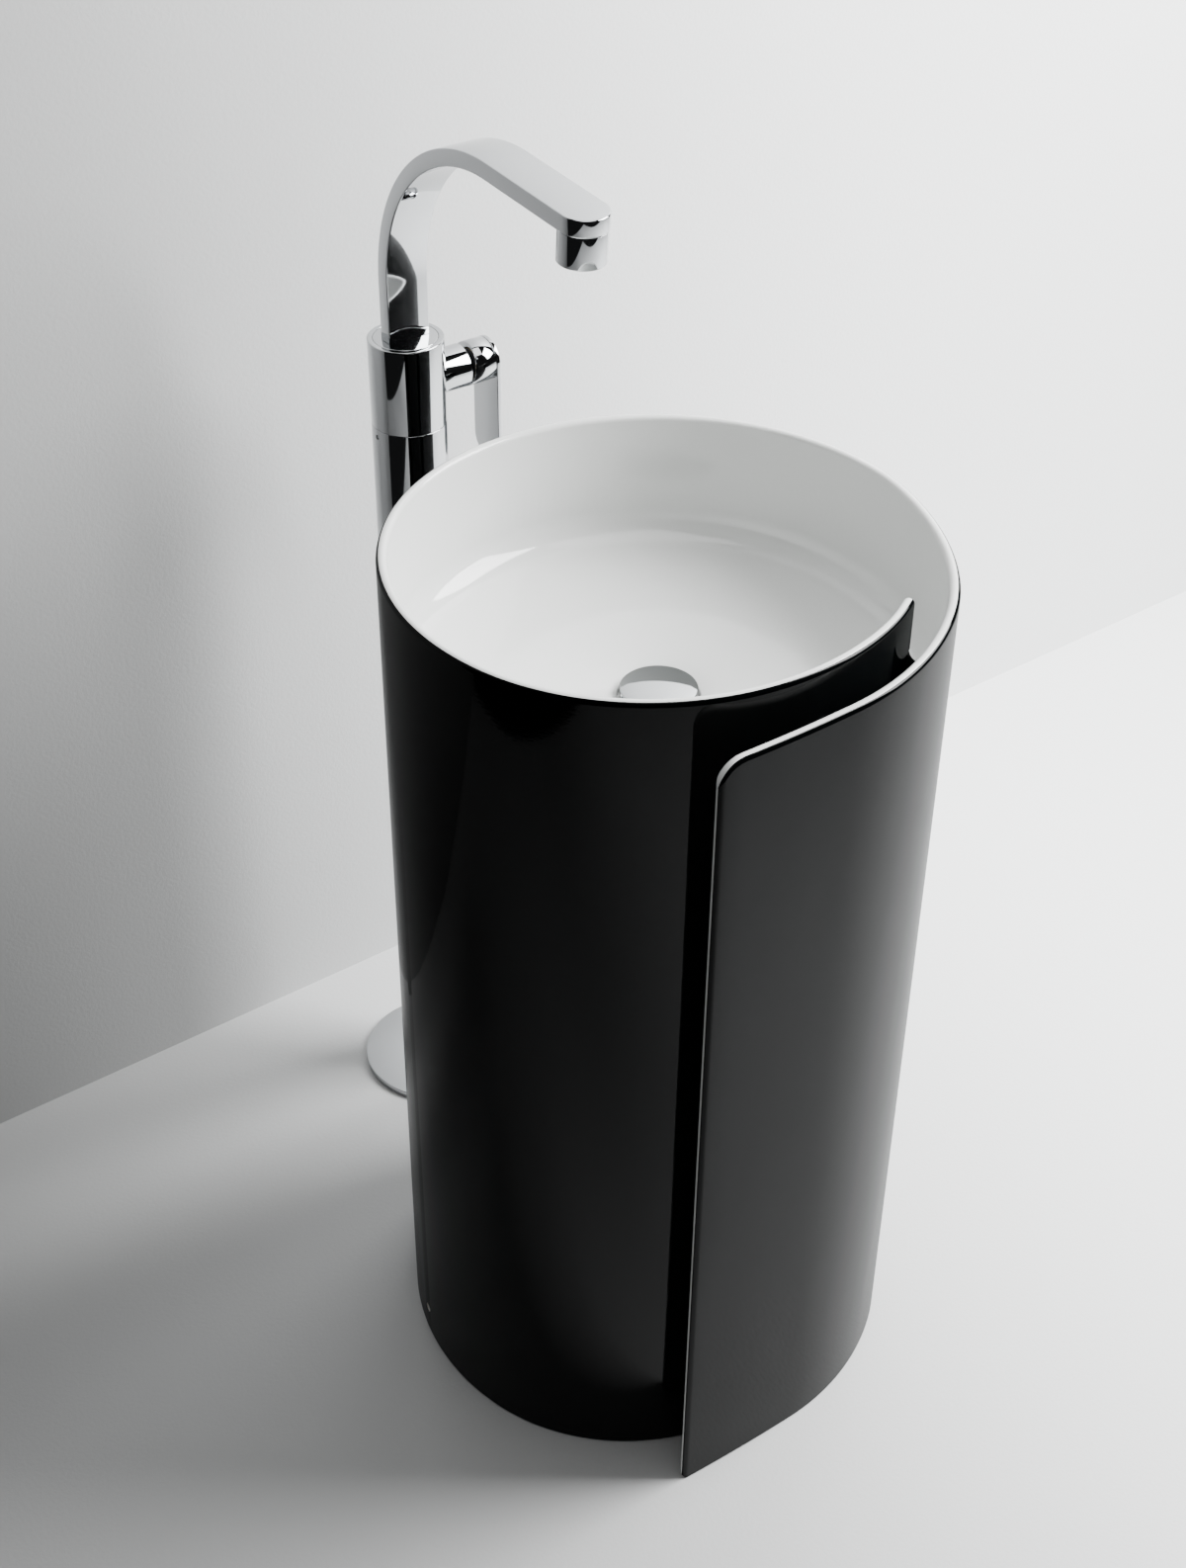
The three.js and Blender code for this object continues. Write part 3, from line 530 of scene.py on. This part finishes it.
def finish_of(name):
    """Each finish is made once, when it is first asked for."""
    if name not in FINISHES:
        colours = bpy.context.scene.sink_colours
        makers = {
            "black glaze": lambda: glaze("black glaze", colours.outer_glaze, 0.0006, 0.045, 0.5, 0.72),
            "white glaze": lambda: glaze("white glaze", colours.inner_glaze, 0.0004, 0.06, 0.5),
            "bare ceramic": bare_ceramic,
            "chrome": lambda: polished_chrome(colours.chrome),
            "satin steel": lambda: satin_metal("satin steel", (0.5, 0.5, 0.51), 0.28),
            "brass": lambda: satin_metal("brass", (0.66, 0.48, 0.22), 0.25),
            "rubber": lambda: moulded("rubber", (0.02, 0.02, 0.02), 0.65),
            "white plastic": lambda: moulded("white plastic", (0.76, 0.76, 0.74), 0.35),
            "black plastic": lambda: moulded("black plastic", (0.012, 0.012, 0.013), 0.35),
            "braided hose": braided_steel,
            "room": lambda: painted_room(colours.room),
        }
        FINISHES[name] = makers[name]()
    return FINISHES[name]


# ------------------------------------------------------------------ the basin

BLACK, WHITE, BARE = 0, 1, 2


def basin_finishes():
    return [finish_of("black glaze"), finish_of("white glaze"), finish_of("bare ceramic")]


def sheet_stations(sizes):
    """Angle, length of flap and distance from the nearer end, from the fin's tip to the flap's end."""
    stations = []
    tip_radius = sheet_radius(sizes, TIP_ANGLE)
    tip_distances = end_distances([EDGE_RADIUS, TIP_CORNER])
    for distance in tip_distances:
        stations.append((TIP_ANGLE - math.degrees(distance / tip_radius), 0.0, distance))
    step = 2
    angle = -60
    while angle >= FRONT_ANGLE:
        stations.append((angle, 0.0, sizes.roll_radius))
        angle -= step
    straight = sizes.flap_length - sizes.flap_corner
    straight_steps = 16
    for k in range(1, straight_steps):
        ahead = straight * k / straight_steps
        stations.append((FRONT_ANGLE, ahead, sizes.flap_length - ahead))
    for distance in reversed(end_distances([EDGE_RADIUS, sizes.flap_corner, FOOT_RADIUS * 2])):
        stations.append((FRONT_ANGLE, sizes.flap_length - distance, distance))
    return stations


def sheet_ring(sizes, angle, ahead, distance):
    """Closed section of the sheet: foot, outer face, rim, inner face; each point has its finish."""
    at_flap = ahead > 0
    squeeze = corner_loss(distance, EDGE_RADIUS)
    corner = corner_loss(distance, sizes.flap_corner if at_flap else TIP_CORNER)
    foot_corner = corner_loss(distance, FOOT_RADIUS * 2) if at_flap else 0.0
    normal = sheet_normal(sizes, angle, ahead)
    outer = sheet_point(sizes, angle, ahead) - normal * squeeze
    width = sizes.thickness - 2 * squeeze
    half = width / 2
    crown = rim_height(sizes, angle, ahead) - corner - half
    foot_radius = min(FOOT_RADIUS, half * 0.9)
    inside_bowl = angle >= BOWL_LAST and not at_flap
    points, finishes = [], []

    def add(depth, height, finish):
        points.append(outer - normal * depth + Vector((0, 0, height)))
        finishes.append(finish)

    foot_steps = 4
    for k in range(foot_steps + 1):
        turn = math.pi / 2 * k / foot_steps
        add(foot_radius * (1 - math.sin(turn)), foot_corner + foot_radius * (1 - math.cos(turn)), BLACK)
    rim_steps = 12
    black_steps = 4
    for k in range(rim_steps + 1):
        turn = math.pi * k / rim_steps
        finish = BLACK if k < black_steps else WHITE
        add(half * (1 - math.cos(turn)), crown + half * math.sin(turn), finish)
    add(width, UNDER_BOWL, BARE if inside_bowl else WHITE)
    for k in range(foot_steps + 1):
        turn = math.pi / 2 * k / foot_steps
        height = foot_corner + foot_radius * (1 - math.sin(turn))
        add(width - foot_radius * (1 - math.cos(turn)), height, BARE)
    return points, finishes


def sheet_piece(sizes):
    rings, row_finishes = [], []
    for angle, ahead, distance in sheet_stations(sizes):
        ring, finishes = sheet_ring(sizes, angle, ahead, distance)
        rings.append(ring)
        row_finishes.append(finishes)
    points, faces = skin(rings)
    face_finish = []
    for row in range(len(rings) - 1):
        face_finish.extend(row_finishes[row])
    end_finishes = [WHITE, WHITE]
    face_finish.extend(end_finishes)
    return add_piece("rolled_sheet", points, faces, basin_finishes(), face_finish)


def bowl_wall(sizes, angle):
    """Radius of the bowl's wall: the inner face, eased over the step at the tip of the fin."""
    inner = sheet_radius(sizes, TIP_ANGLE) - sizes.thickness
    past = angle - BOWL_LAST
    wall = sheet_radius(sizes, angle) - sizes.thickness
    if past < BOWL_CLOSING:
        return inner + (wall - inner) * eased(past / BOWL_CLOSING)
    return wall


def bowl_ring(sizes, angle):
    """Section of the bowl's floor at one angle, from the drain hole into the wall."""
    wall = bowl_wall(sizes, angle) - 0.02 * MM
    fillet = sizes.bowl_fillet
    hole, recess, lip = 23 * MM, 34.8 * MM, 2 * MM
    ledge, rim, thickness = DRAIN_LEDGE, DRAIN_RIM, 12 * MM
    neck = ledge - 10 * MM
    slope = 0.158
    lean = math.atan(slope)
    foot = wall - fillet + fillet * math.sin(lean)
    centre = rim + slope * (foot - recess) + fillet * math.cos(lean)
    profile = [(hole, neck), (hole, ledge), (recess, ledge), (recess, rim - lip)]
    lip_steps = 4
    for k in range(1, lip_steps + 1):
        turn = (math.pi / 2 - lean) * k / lip_steps
        profile.append((recess + lip * (1 - math.cos(turn)), rim - lip + lip * math.sin(turn)))
    floor_steps = 6
    start = recess + lip
    for k in range(1, floor_steps):
        radius = start + (foot - start) * k / floor_steps
        profile.append((radius, rim + slope * (radius - recess)))
    fillet_steps = 14
    for k in range(fillet_steps + 1):
        turn = lean + (math.pi / 2 - lean) * k / fillet_steps
        profile.append((wall - fillet + fillet * math.sin(turn), centre - fillet * math.cos(turn)))
    embed = sizes.thickness / 2
    low = centre - fillet - thickness
    profile += [(wall + embed, centre), (wall + embed, low), (wall - fillet, low)]
    profile.append((recess + thickness, neck))
    return [around(radius, angle, height) for radius, height in profile]


def bowl_piece(sizes):
    rings = []
    step = 2
    angle = TIP_ANGLE - 0.5
    while angle > BOWL_LAST + BOWL_CLOSING:
        rings.append(bowl_ring(sizes, angle))
        angle -= step
    for k in range(BOWL_CLOSING):
        rings.append(bowl_ring(sizes, BOWL_LAST + BOWL_CLOSING - k))
    points, faces = skin(rings, wrap=True)
    count = len(rings[0])
    underside = 4
    section = [WHITE] * (count - underside) + [BARE] * underside
    return add_piece("bowl_floor", points, faces, basin_finishes(), section * len(rings))


def web_piece(sizes):
    """The web at the tip of the fin, hollowed like a saddle between the fin and the lap."""
    near = sheet_radius(sizes, TIP_ANGLE)
    far = sheet_radius(sizes, BOWL_LAST) - sizes.thickness
    half = sizes.thickness / 2
    middle_radius = (near + far) / 2
    saddle = (far - near) / 2
    centre_angle = TIP_ANGLE - math.degrees(half / near)
    rings = []
    steps = 16
    for s in range(steps + 1):
        across = -1 + 2 * s / steps
        radius = middle_radius + across * (saddle + half)
        hollow = saddle * saddle - (radius - middle_radius) ** 2
        top = WEB_TOP + saddle - math.sqrt(max(0.0, hollow))
        turn = math.radians(centre_angle)
        side = Vector((-math.sin(turn), math.cos(turn), 0))
        spine = around(radius, centre_angle)
        ring = [spine + side * half]
        arc_steps = 8
        for k in range(arc_steps + 1):
            arc = math.pi * k / arc_steps
            rise = Vector((0, 0, top - half + half * math.sin(arc)))
            ring.append(spine + side * half * math.cos(arc) + rise)
        ring.append(spine - side * half)
        rings.append(ring)
    points, faces = skin(rings)
    white_part = 6
    row = [WHITE] * white_part + [BLACK] * (len(rings[0]) - white_part)
    face_finish = row * steps + [BARE, BARE]
    return add_piece("tip_web", points, faces, basin_finishes(), face_finish)


def cylinder_cutter(name, radius, start, end, sides=48):
    """A round bar between two points, for cutting a hole."""
    along = (end - start).normalized()
    across = along.orthogonal().normalized()
    upright = along.cross(across)
    turns = [2 * math.pi * k / sides for k in range(sides)]
    spokes = [across * radius * math.cos(turn) + upright * radius * math.sin(turn) for turn in turns]
    rings = [[place + spoke for spoke in spokes] for place in (start, end)]
    points, faces = skin(rings)
    return add_piece(name, points, faces, basin_finishes(), [BARE] * len(faces))


def arch_cutter():
    """The service arch low in the back of the pedestal."""
    half, height = 75 * MM, 230 * MM
    outline = [(-half, -0.01), (half, -0.01)]
    steps = 24
    for k in range(steps + 1):
        turn = math.pi * k / steps
        outline.append((half * math.cos(turn), height - half + half * math.sin(turn)))
    rings = []
    for depth in (0.12, 0.26):
        rings.append([ROLL + Vector((x, depth, z)) for x, z in outline])
    points, faces = skin(rings)
    return add_piece("arch_cut", points, faces, basin_finishes(), [BARE] * len(faces))


def combine(piece, other, operation):
    """Joins another solid to a piece or cuts it away, and removes the other solid."""
    change = piece.modifiers.new(operation.lower(), "BOOLEAN")
    change.operation = operation
    change.object = other
    change.solver = "EXACT"
    bpy.context.view_layer.update()
    seen = piece.evaluated_get(bpy.context.evaluated_depsgraph_get())
    changed = bpy.data.meshes.new_from_object(seen)
    piece.modifiers.remove(change)
    old = piece.data
    piece.data = changed
    bpy.data.meshes.remove(old)
    bpy.data.objects.remove(other)
    if len(piece.data.polygons) == 0:
        raise RuntimeError(f"{operation} left nothing of {piece.name}")


def finish_surface(piece, sharp=40):
    piece.data.shade_smooth()
    piece.data.set_sharp_from_angle(angle=math.radians(sharp))


class SINK_OT_basin(bpy.types.Operator):
    """Build the rolled ceramic body with its bowl"""

    bl_idname = "sink.basin"
    bl_label = "Basin"

    def execute(self, context):
        sizes = context.scene.sink_basin
        body = sheet_piece(sizes)
        combine(body, bowl_piece(sizes), "UNION")
        combine(body, web_piece(sizes), "UNION")
        combine(body, arch_cutter(), "DIFFERENCE")
        for side in ("left", "right"):
            place = middle(f"screw_sleeve_{side}")
            outward = Vector((place.x, place.y - ROLL.y, 0)).normalized() * 0.02
            hole = cylinder_cutter("side_hole", 4.5 * MM, place - outward, place + outward)
            combine(body, hole, "DIFFERENCE")
        finish_surface(body)
        body.name = "rolled_basin"
        settle(body, "root", "glazed_ceramic", "basin_body")
        return {"FINISHED"}


# ------------------------------------------------------------------ turned pieces


class SINK_OT_waste(bpy.types.Operator):
    """Build the waste's round cap"""

    bl_idname = "sink.waste"
    bl_label = "Waste cap"

    def execute(self, context):
        low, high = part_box("waste_cap")
        radius = high.x
        centre = Vector((0, ROLL.y, 0))
        dome = 2.4 * MM
        edge = rounded([
            (0, low.z, 0), (radius, low.z, 0.7 * MM), (radius, high.z - dome, 1.1 * MM),
            (radius * 0.8, high.z - dome * 0.6, 0), (radius * 0.5, high.z - dome * 0.23, 0),
            (radius * 0.25, high.z - dome * 0.06, 0), (0, high.z, 0)], steps=6)
        points, faces = turned(edge, centre)
        cap = add_piece("waste_cap_polished", points, faces, [finish_of("chrome")], sharp=50)
        settle(cap, "plug", "chrome", "waste_cap")
        return {"FINISHED"}


def turned_piece(name, profile, centre, finish, body, slot, *nodes, axis="Z", sides=128):
    points, faces = turned(profile, centre, sides, axis)
    piece = add_piece(name, points, faces, [finish_of(finish)], sharp=50)
    return settle(piece, body, slot, *nodes)


class SINK_OT_column(bpy.types.Operator):
    """Build the mixer's foot, column and housing"""

    bl_idname = "sink.column"
    bl_label = "Mixer column"

    def execute(self, context):
        low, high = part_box("flange_cover")
        foot_radius = (high.x - low.x) / 2
        skin_thickness = 1.5 * MM
        column_low, column_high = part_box("column_tube")
        radius = column_high.x
        bore = radius - 2.5 * MM
        hole = radius + 0.3 * MM
        under, within = high.z - skin_thickness, foot_radius - skin_thickness
        foot = rounded([
            (hole, under, 0), (within, under, 0), (within, low.z, 0), (foot_radius, low.z, 0.3 * MM),
            (foot_radius, high.z, 1.0 * MM), (hole, high.z, 0.3 * MM)])
        turned_piece("foot_disc", foot, MIXER, "chrome", "root", "chrome", "flange_cover")
        column = turned_piece("column", rounded([
            (bore, column_low.z, 0), (radius, column_low.z, 0.3 * MM), (radius, column_high.z, 0.4 * MM),
            (bore, column_high.z, 0)]), MIXER, "chrome", "root", "chrome", "column_tube")
        screw = middle("column_set_screw")
        reach = Vector((8 * MM, 0, 0))
        hole_cutter = cylinder_cutter("set_hole", 2.2 * MM, screw - reach, screw + reach)
        combine(column, hole_cutter, "DIFFERENCE")
        finish_surface(column, 50)
        housing_low, housing_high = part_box("mixer_housing")
        disc = context.scene.sink_mixer.disc_radius
        turned_piece("housing", rounded([
            (bore, housing_low.z, 0), (radius, housing_low.z, 0.4 * MM), (radius, housing_high.z, 0.9 * MM),
            (disc + 0.3 * MM, housing_high.z, 0.3 * MM), (disc + 0.3 * MM, housing_high.z - 6 * MM, 0),
            (bore, housing_high.z - 6 * MM, 0)]), MIXER, "chrome", "root", "chrome", "mixer_housing")
        return {"FINISHED"}


# ------------------------------------------------------------------ flat bands with rounded edges


def band_loops(outline, thickness, edge, place):
    """Loops of a band whose flat outline is shrunk towards each face by its edge radius.

    The outline is a list of (point, outward direction) in the flat; `place` lays a flat point and a
    height above the middle of the band into space.
    """
    loops = []
    half = thickness / 2
    steps = 5
    levels = []
    for k in range(steps + 1):
        turn = math.pi / 2 * k / steps
        levels.append((edge * (1 - math.sin(turn)), half - edge * (1 - math.cos(turn))))
    levels += [(inset, -height) for inset, height in reversed(levels)]
    for inset, height in levels:
        loops.append([place(point - outward * inset, height) for point, outward in outline])
    return loops


def band_faces(outline_count, loop_count):
    """Sides of the band, and its two faces as strips between mirrored points of the outline."""
    faces = []
    for level in range(loop_count - 1):
        here, there = level * outline_count, (level + 1) * outline_count
        for k in range(outline_count):
            after = (k + 1) % outline_count
            faces.append((here + k, here + after, there + after, there + k))
    for start in (0, (loop_count - 1) * outline_count):
        pairs = outline_count // 2
        for k in range(pairs - 1):
            mirror = outline_count - 1 - k
            strip = [start + k, start + k + 1, start + mirror - 1, start + mirror]
            faces.append(tuple(dict.fromkeys(strip)))
    return faces


def stadium(half_width, near, far, round_near, spacing):
    """Outline of a strip with a half-round far end, and a half-round or square near end."""
    right = []
    arc_steps = 20
    if round_near:
        for k in range(arc_steps + 1):
            turn = math.pi / 2 * k / arc_steps
            direction = Vector((-math.cos(turn), math.sin(turn)))
            right.append((Vector((near, 0)) + direction * half_width, direction))
    else:
        right.append((Vector((near, half_width)), Vector((0, 1))))
    steps = max(1, round((far - near) / spacing))
    for k in range(1, steps + 1):
        right.append((Vector((near + (far - near) * k / steps, half_width)), Vector((0, 1))))
    for k in range(1, arc_steps + 1):
        turn = math.pi / 2 * k / arc_steps
        direction = Vector((math.sin(turn), math.cos(turn)))
        right.append((Vector((far, 0)) + direction * half_width, direction))
    mirrored = [(Vector((p.x, -p.y)), Vector((d.x, -d.y))) for p, d in reversed(right)]
    return right + mirrored


class SINK_OT_spout(bpy.types.Operator):
    """Build the bent band, its swivel disc and the outlet"""

    bl_idname = "sink.spout"
    bl_label = "Spout"

    def execute(self, context):
        sizes = context.scene.sink_mixer
        low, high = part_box("spout")
        bend, fall = sizes.bend_reach, sizes.arm_fall
        upright = high.z - sizes.band_thickness / 2 - bend - low.z
        curved = bend * (math.pi / 2 + fall)
        straight = (sizes.outlet_reach - bend * (1 + math.sin(fall))) / math.cos(fall)
        half_width = sizes.band_width / 2
        total = upright + curved + straight
        bend_centre = Vector((0, -bend, low.z + upright))

        def lay(point, height):
            travelled = point.x
            if travelled <= upright:
                spine, outward = Vector((0, 0, low.z + travelled)), Vector((0, 1, 0))
            else:
                turn = min(travelled - upright, curved) / bend
                beyond = max(0.0, travelled - upright - curved)
                outward = Vector((0, math.cos(turn), math.sin(turn)))
                along = Vector((0, -math.sin(turn), math.cos(turn)))
                spine = bend_centre + outward * bend + along * beyond
            return MIXER + spine + outward * height + Vector((point.y, 0, 0))

        outline = stadium(half_width, 0.0, total, False, 3 * MM)
        loops = band_loops(outline, sizes.band_thickness, sizes.edge, lay)
        points = [point for loop in loops for point in loop]
        faces = band_faces(len(outline), len(loops))
        foot_count = len(outline)
        foot = [level * foot_count for level in range(len(loops))]
        foot += [level * foot_count + foot_count - 1 for level in reversed(range(len(loops)))]
        faces = [face for face in faces if not foot_face(face, foot_count)]
        faces.append(tuple(foot))
        band = add_piece("spout_band", points, faces, [finish_of("chrome")], sharp=50)
        settle(band, "spout_arm", "chrome", "spout")
        self.swivel(sizes)
        self.outlet(sizes, lay(Vector((total, 0)), 0.0))
        return {"FINISHED"}

    def swivel(self, sizes):
        low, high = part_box("swivel_base")
        pin, bore = 11 * MM, 8 * MM
        turned_piece("swivel_disc", rounded([
            (bore, low.z, 0), (pin, low.z, 0), (pin, high.z - 6 * MM, 0), (sizes.disc_radius, high.z - 6 * MM, 0),
            (sizes.disc_radius, high.z, 0.6 * MM), (bore, high.z, 0)]),
            MIXER, "chrome", "spout_arm", "chrome", "swivel_base")

    def outlet(self, sizes, over):
        """The round outlet, square to the arm under the point `over` in the middle of the band."""
        low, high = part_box("aerator_housing")
        radius = (high.x - low.x) / 2
        bore, lip = 17 * MM, 2 * MM
        top = -sizes.band_thickness / 2 - 0.1 * MM
        foot = top - sizes.outlet_length
        profile = rounded([
            (bore - lip, foot, 0.4 * MM), (radius, foot, 1.0 * MM), (radius, top, 0.2 * MM), (bore, top, 0),
            (bore, foot + 3 * MM, 0), (bore - lip, foot + 3 * MM, 0)])
        points, faces = turned(profile, Vector())
        place = Matrix.Translation(over) @ Matrix.Rotation(sizes.arm_fall, 4, "X")
        laid = [place @ point for point in points]
        sleeve = add_piece("outlet_sleeve", laid, faces, [finish_of("chrome")], sharp=50)
        settle(sleeve, "spout_arm", "chrome", "aerator_housing")


def foot_face(face, outline_count):
    """Whether a side face closes the square end of a band's outline."""
    places = {corner % outline_count for corner in face}
    levels = {corner // outline_count for corner in face}
    return places == {0, outline_count - 1} and len(face) == 4 and len(levels) == 2


# ------------------------------------------------------------------ the handle


class SINK_OT_handle(bpy.types.Operator):
    """Build the handle's stub, hub and hanging blade"""

    bl_idname = "sink.handle"
    bl_label = "Handle"

    def execute(self, context):
        centre = Vector((0, MIXER.y, LEVER.z))
        self.stub(centre)
        self.hub(centre)
        self.blade(centre)
        self.button(centre)
        return {"FINISHED"}

    def stub(self, centre):
        low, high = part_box("handle_stub")
        radius = (high.z - low.z) / 2
        bore = radius - 1.9 * MM
        profile = rounded([
            (bore, low.x, 0), (radius, low.x, 0), (radius, high.x, 0.5 * MM), (bore, high.x, 0.2 * MM)])
        turned_piece("handle_sleeve", profile, centre, "chrome", "root", "chrome", "handle_stub", axis="X")

    def hub(self, centre):
        low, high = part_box("lever_hub")
        radius = (high.z - low.z) / 2
        stub_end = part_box("handle_stub")[1].x
        near_low, near_high, far = stub_end + 1 * MM, stub_end + 7 * MM, high.x
        slope = (near_high - near_low) / (2 * radius)
        edge = 0.5 * MM
        levels = [(7 * MM, 6 * MM), (7 * MM, 0.0), (radius - edge, 0.0), (radius, edge)]
        rings = []
        sides = 96
        turns = [2 * math.pi * k / sides for k in range(sides)]
        for ring_radius, ahead in levels:
            ring = []
            for turn in turns:
                y, z = ring_radius * math.cos(turn), ring_radius * math.sin(turn)
                slanted = (near_low + near_high) / 2 + slope * z + ahead
                ring.append(centre + Vector((slanted, y, z)))
            rings.append(ring)
        for ring_radius, x in ((radius, far - edge), (radius - edge, far)):
            rings.append([
                centre + Vector((x, ring_radius * math.cos(turn), ring_radius * math.sin(turn)))
                for turn in turns])
        points, faces = skin(rings)
        piece = add_piece("handle_hub", points, faces, [finish_of("chrome")], sharp=50)
        settle(piece, "lever", "chrome", "lever_hub")

    def blade(self, centre):
        low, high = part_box("lever_blade")
        half_width = (high.y - low.y) / 2
        reach = (high.z - low.z) - 2 * half_width
        thickness = high.x - low.x
        edge = 0.7 * MM
        middle_x = (low.x + high.x) / 2

        def lay(point, height):
            return centre + Vector((middle_x + height, point.y, -point.x))

        outline = stadium(half_width, 0.0, reach, True, 8 * MM)
        loops = band_loops(outline, thickness, edge, lay)
        points = [point for loop in loops for point in loop]
        faces = band_faces(len(outline), len(loops))
        blade = add_piece("handle_blade", points, faces, [finish_of("chrome")], sharp=50)
        settle(blade, "lever", "chrome", "lever_blade")

    def button(self, centre):
        low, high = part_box("index_button")
        radius = (high.z - low.z) / 2
        profile = rounded([(0, low.x, 0), (radius, low.x, 0), (radius, high.x, 0.5 * MM), (0, high.x, 0)])
        turned_piece(
            "handle_button", profile, centre, "satin steel", "lever", "satin_steel", "index_button", axis="X")


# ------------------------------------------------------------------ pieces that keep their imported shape

KEPT_FINISHES = {
    "satin_steel": "satin steel",
    "brass": "brass",
    "rubber": "rubber",
    "white_plastic": "white plastic",
    "black_plastic": "black plastic",
    "braided_hose": "braided hose",
    "chrome": "chrome",
    "glazed_ceramic": "black glaze",
}


class SINK_OT_inner_parts(bpy.types.Operator):
    """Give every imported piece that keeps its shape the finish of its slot"""

    bl_idname = "sink.inner_parts"
    bl_label = "Inner parts"

    def execute(self, context):
        for entry in frame["record"]["subparts"]:
            node = frame["nodes"][entry["node"]]
            node.data.materials.clear()
            node.data.materials.append(finish_of(KEPT_FINISHES[entry["material_slot"]]))
            finish_surface(node, 35)
        return {"FINISHED"}


# ------------------------------------------------------------------ stage


STAGE_LEFT, STAGE_RIGHT = -1.6, 3.6
STAGE_FRONT, STAGE_BACK = -2.2, 3.2
WALL_HEIGHT = 2.4


def soft_light(name, place, target, width, height, power):
    data = bpy.data.lights.new(name, "AREA")
    data.shape = "RECTANGLE"
    data.size = width
    data.size_y = height
    data.energy = power
    light = bpy.data.objects.new(name, data)
    light.location = place
    light.rotation_euler = (Vector(target) - Vector(place)).to_track_quat("-Z", "Y").to_euler()
    bpy.context.scene.collection.objects.link(light)
    return light


class SINK_OT_stage(bpy.types.Operator):
    """Build the floor, the wall, the lights and the camera"""

    bl_idname = "sink.stage"
    bl_label = "Stage"

    def execute(self, context):
        settings = context.scene.sink_stage
        wall = settings.wall_distance
        panels = {
            "floor": [
                (STAGE_LEFT, STAGE_BACK, 0), (STAGE_LEFT, STAGE_FRONT, 0),
                (STAGE_RIGHT, STAGE_FRONT, 0), (STAGE_RIGHT, STAGE_BACK, 0)],
            "wall": [
                (STAGE_LEFT, wall, 0), (STAGE_RIGHT, wall, 0),
                (STAGE_RIGHT, wall, WALL_HEIGHT), (STAGE_LEFT, wall, WALL_HEIGHT)],
        }
        for name, corners in panels.items():
            faces = [tuple(range(len(corners)))]
            panel = add_piece(name, corners, faces, [finish_of("room")], closed=False)
        self.lights()
        self.camera(settings)
        return {"FINISHED"}

    def lights(self):
        soft_light("key", (1.7, -0.8, 2.1), (0.1, 0.15, 0.4), 1.5, 1.5, 250)
        soft_light("overhead", (0.0, -0.5, 3.0), (0.0, 0.1, 0), 1.6, 1.6, 30)
        world = bpy.data.worlds.new("studio")
        world.use_nodes = True
        world.node_tree.nodes["Background"].inputs["Color"].default_value = (0.8, 0.82, 0.85, 1)
        background = world.node_tree.nodes["Background"]
        seen = world.node_tree.nodes.new("ShaderNodeLightPath")
        strength = world.node_tree.nodes.new("ShaderNodeMapRange")
        strength.inputs["To Min"].default_value = 0.02
        strength.inputs["To Max"].default_value = 0.5
        world.node_tree.links.new(seen.outputs["Is Camera Ray"], strength.inputs["Value"])
        world.node_tree.links.new(strength.outputs["Result"], background.inputs["Strength"])
        bpy.context.scene.world = world

    def camera(self, settings):
        data = bpy.data.cameras.new("camera")
        data.sensor_fit = "AUTO"
        data.sensor_width = 36.0
        data.lens = settings.lens
        forward = Vector(settings.camera_aim).normalized()
        right = forward.cross(Vector((0, 0, 1))).normalized()
        up = right.cross(forward)
        level = Matrix((right, up, -forward)).transposed()
        tilted = level @ Matrix.Rotation(settings.camera_tilt, 3, "Z")
        camera = bpy.data.objects.new("camera", data)
        camera.matrix_world = Matrix.Translation(settings.camera_place) @ tilted.to_4x4()
        bpy.context.scene.collection.objects.link(camera)
        bpy.context.scene.camera = camera


class SINK_PT_panel(bpy.types.Panel):
    """Sidebar panel with the sizes, the colours and the steps"""

    bl_idname = "SINK_PT_panel"
    bl_label = "Washbasin"
    bl_space_type = "VIEW_3D"
    bl_region_type = "UI"
    bl_category = "Washbasin"

    def draw(self, context):
        for group in GROUPS:
            box = self.layout.box()
            settings = getattr(context.scene, group)
            for name in GROUPS[group].__annotations__:
                box.prop(settings, name)
        for step in STEPS:
            self.layout.operator(step.bl_idname)


GROUPS = {
    "sink_basin": BasinSizes,
    "sink_mixer": MixerSizes,
    "sink_colours": SinkColours,
    "sink_stage": StageSettings,
}
STEPS = (
    SINK_OT_stage, SINK_OT_inner_parts, SINK_OT_basin, SINK_OT_waste, SINK_OT_column, SINK_OT_spout,
    SINK_OT_handle)


def register():
    for cls in (*GROUPS.values(), *STEPS, SINK_PT_panel):
        bpy.utils.register_class(cls)
    for name, group in GROUPS.items():
        setattr(bpy.types.Scene, name, bpy.props.PointerProperty(type=group))


def unregister():
    for name in GROUPS:
        delattr(bpy.types.Scene, name)
    for cls in (SINK_PT_panel, *reversed(STEPS), *reversed(tuple(GROUPS.values()))):
        bpy.utils.unregister_class(cls)


def main():
    register()
    for step in STEPS:
        group, name = step.bl_idname.split(".")
        getattr(getattr(bpy.ops, group), name)()


if __name__ == "__main__":
    main()
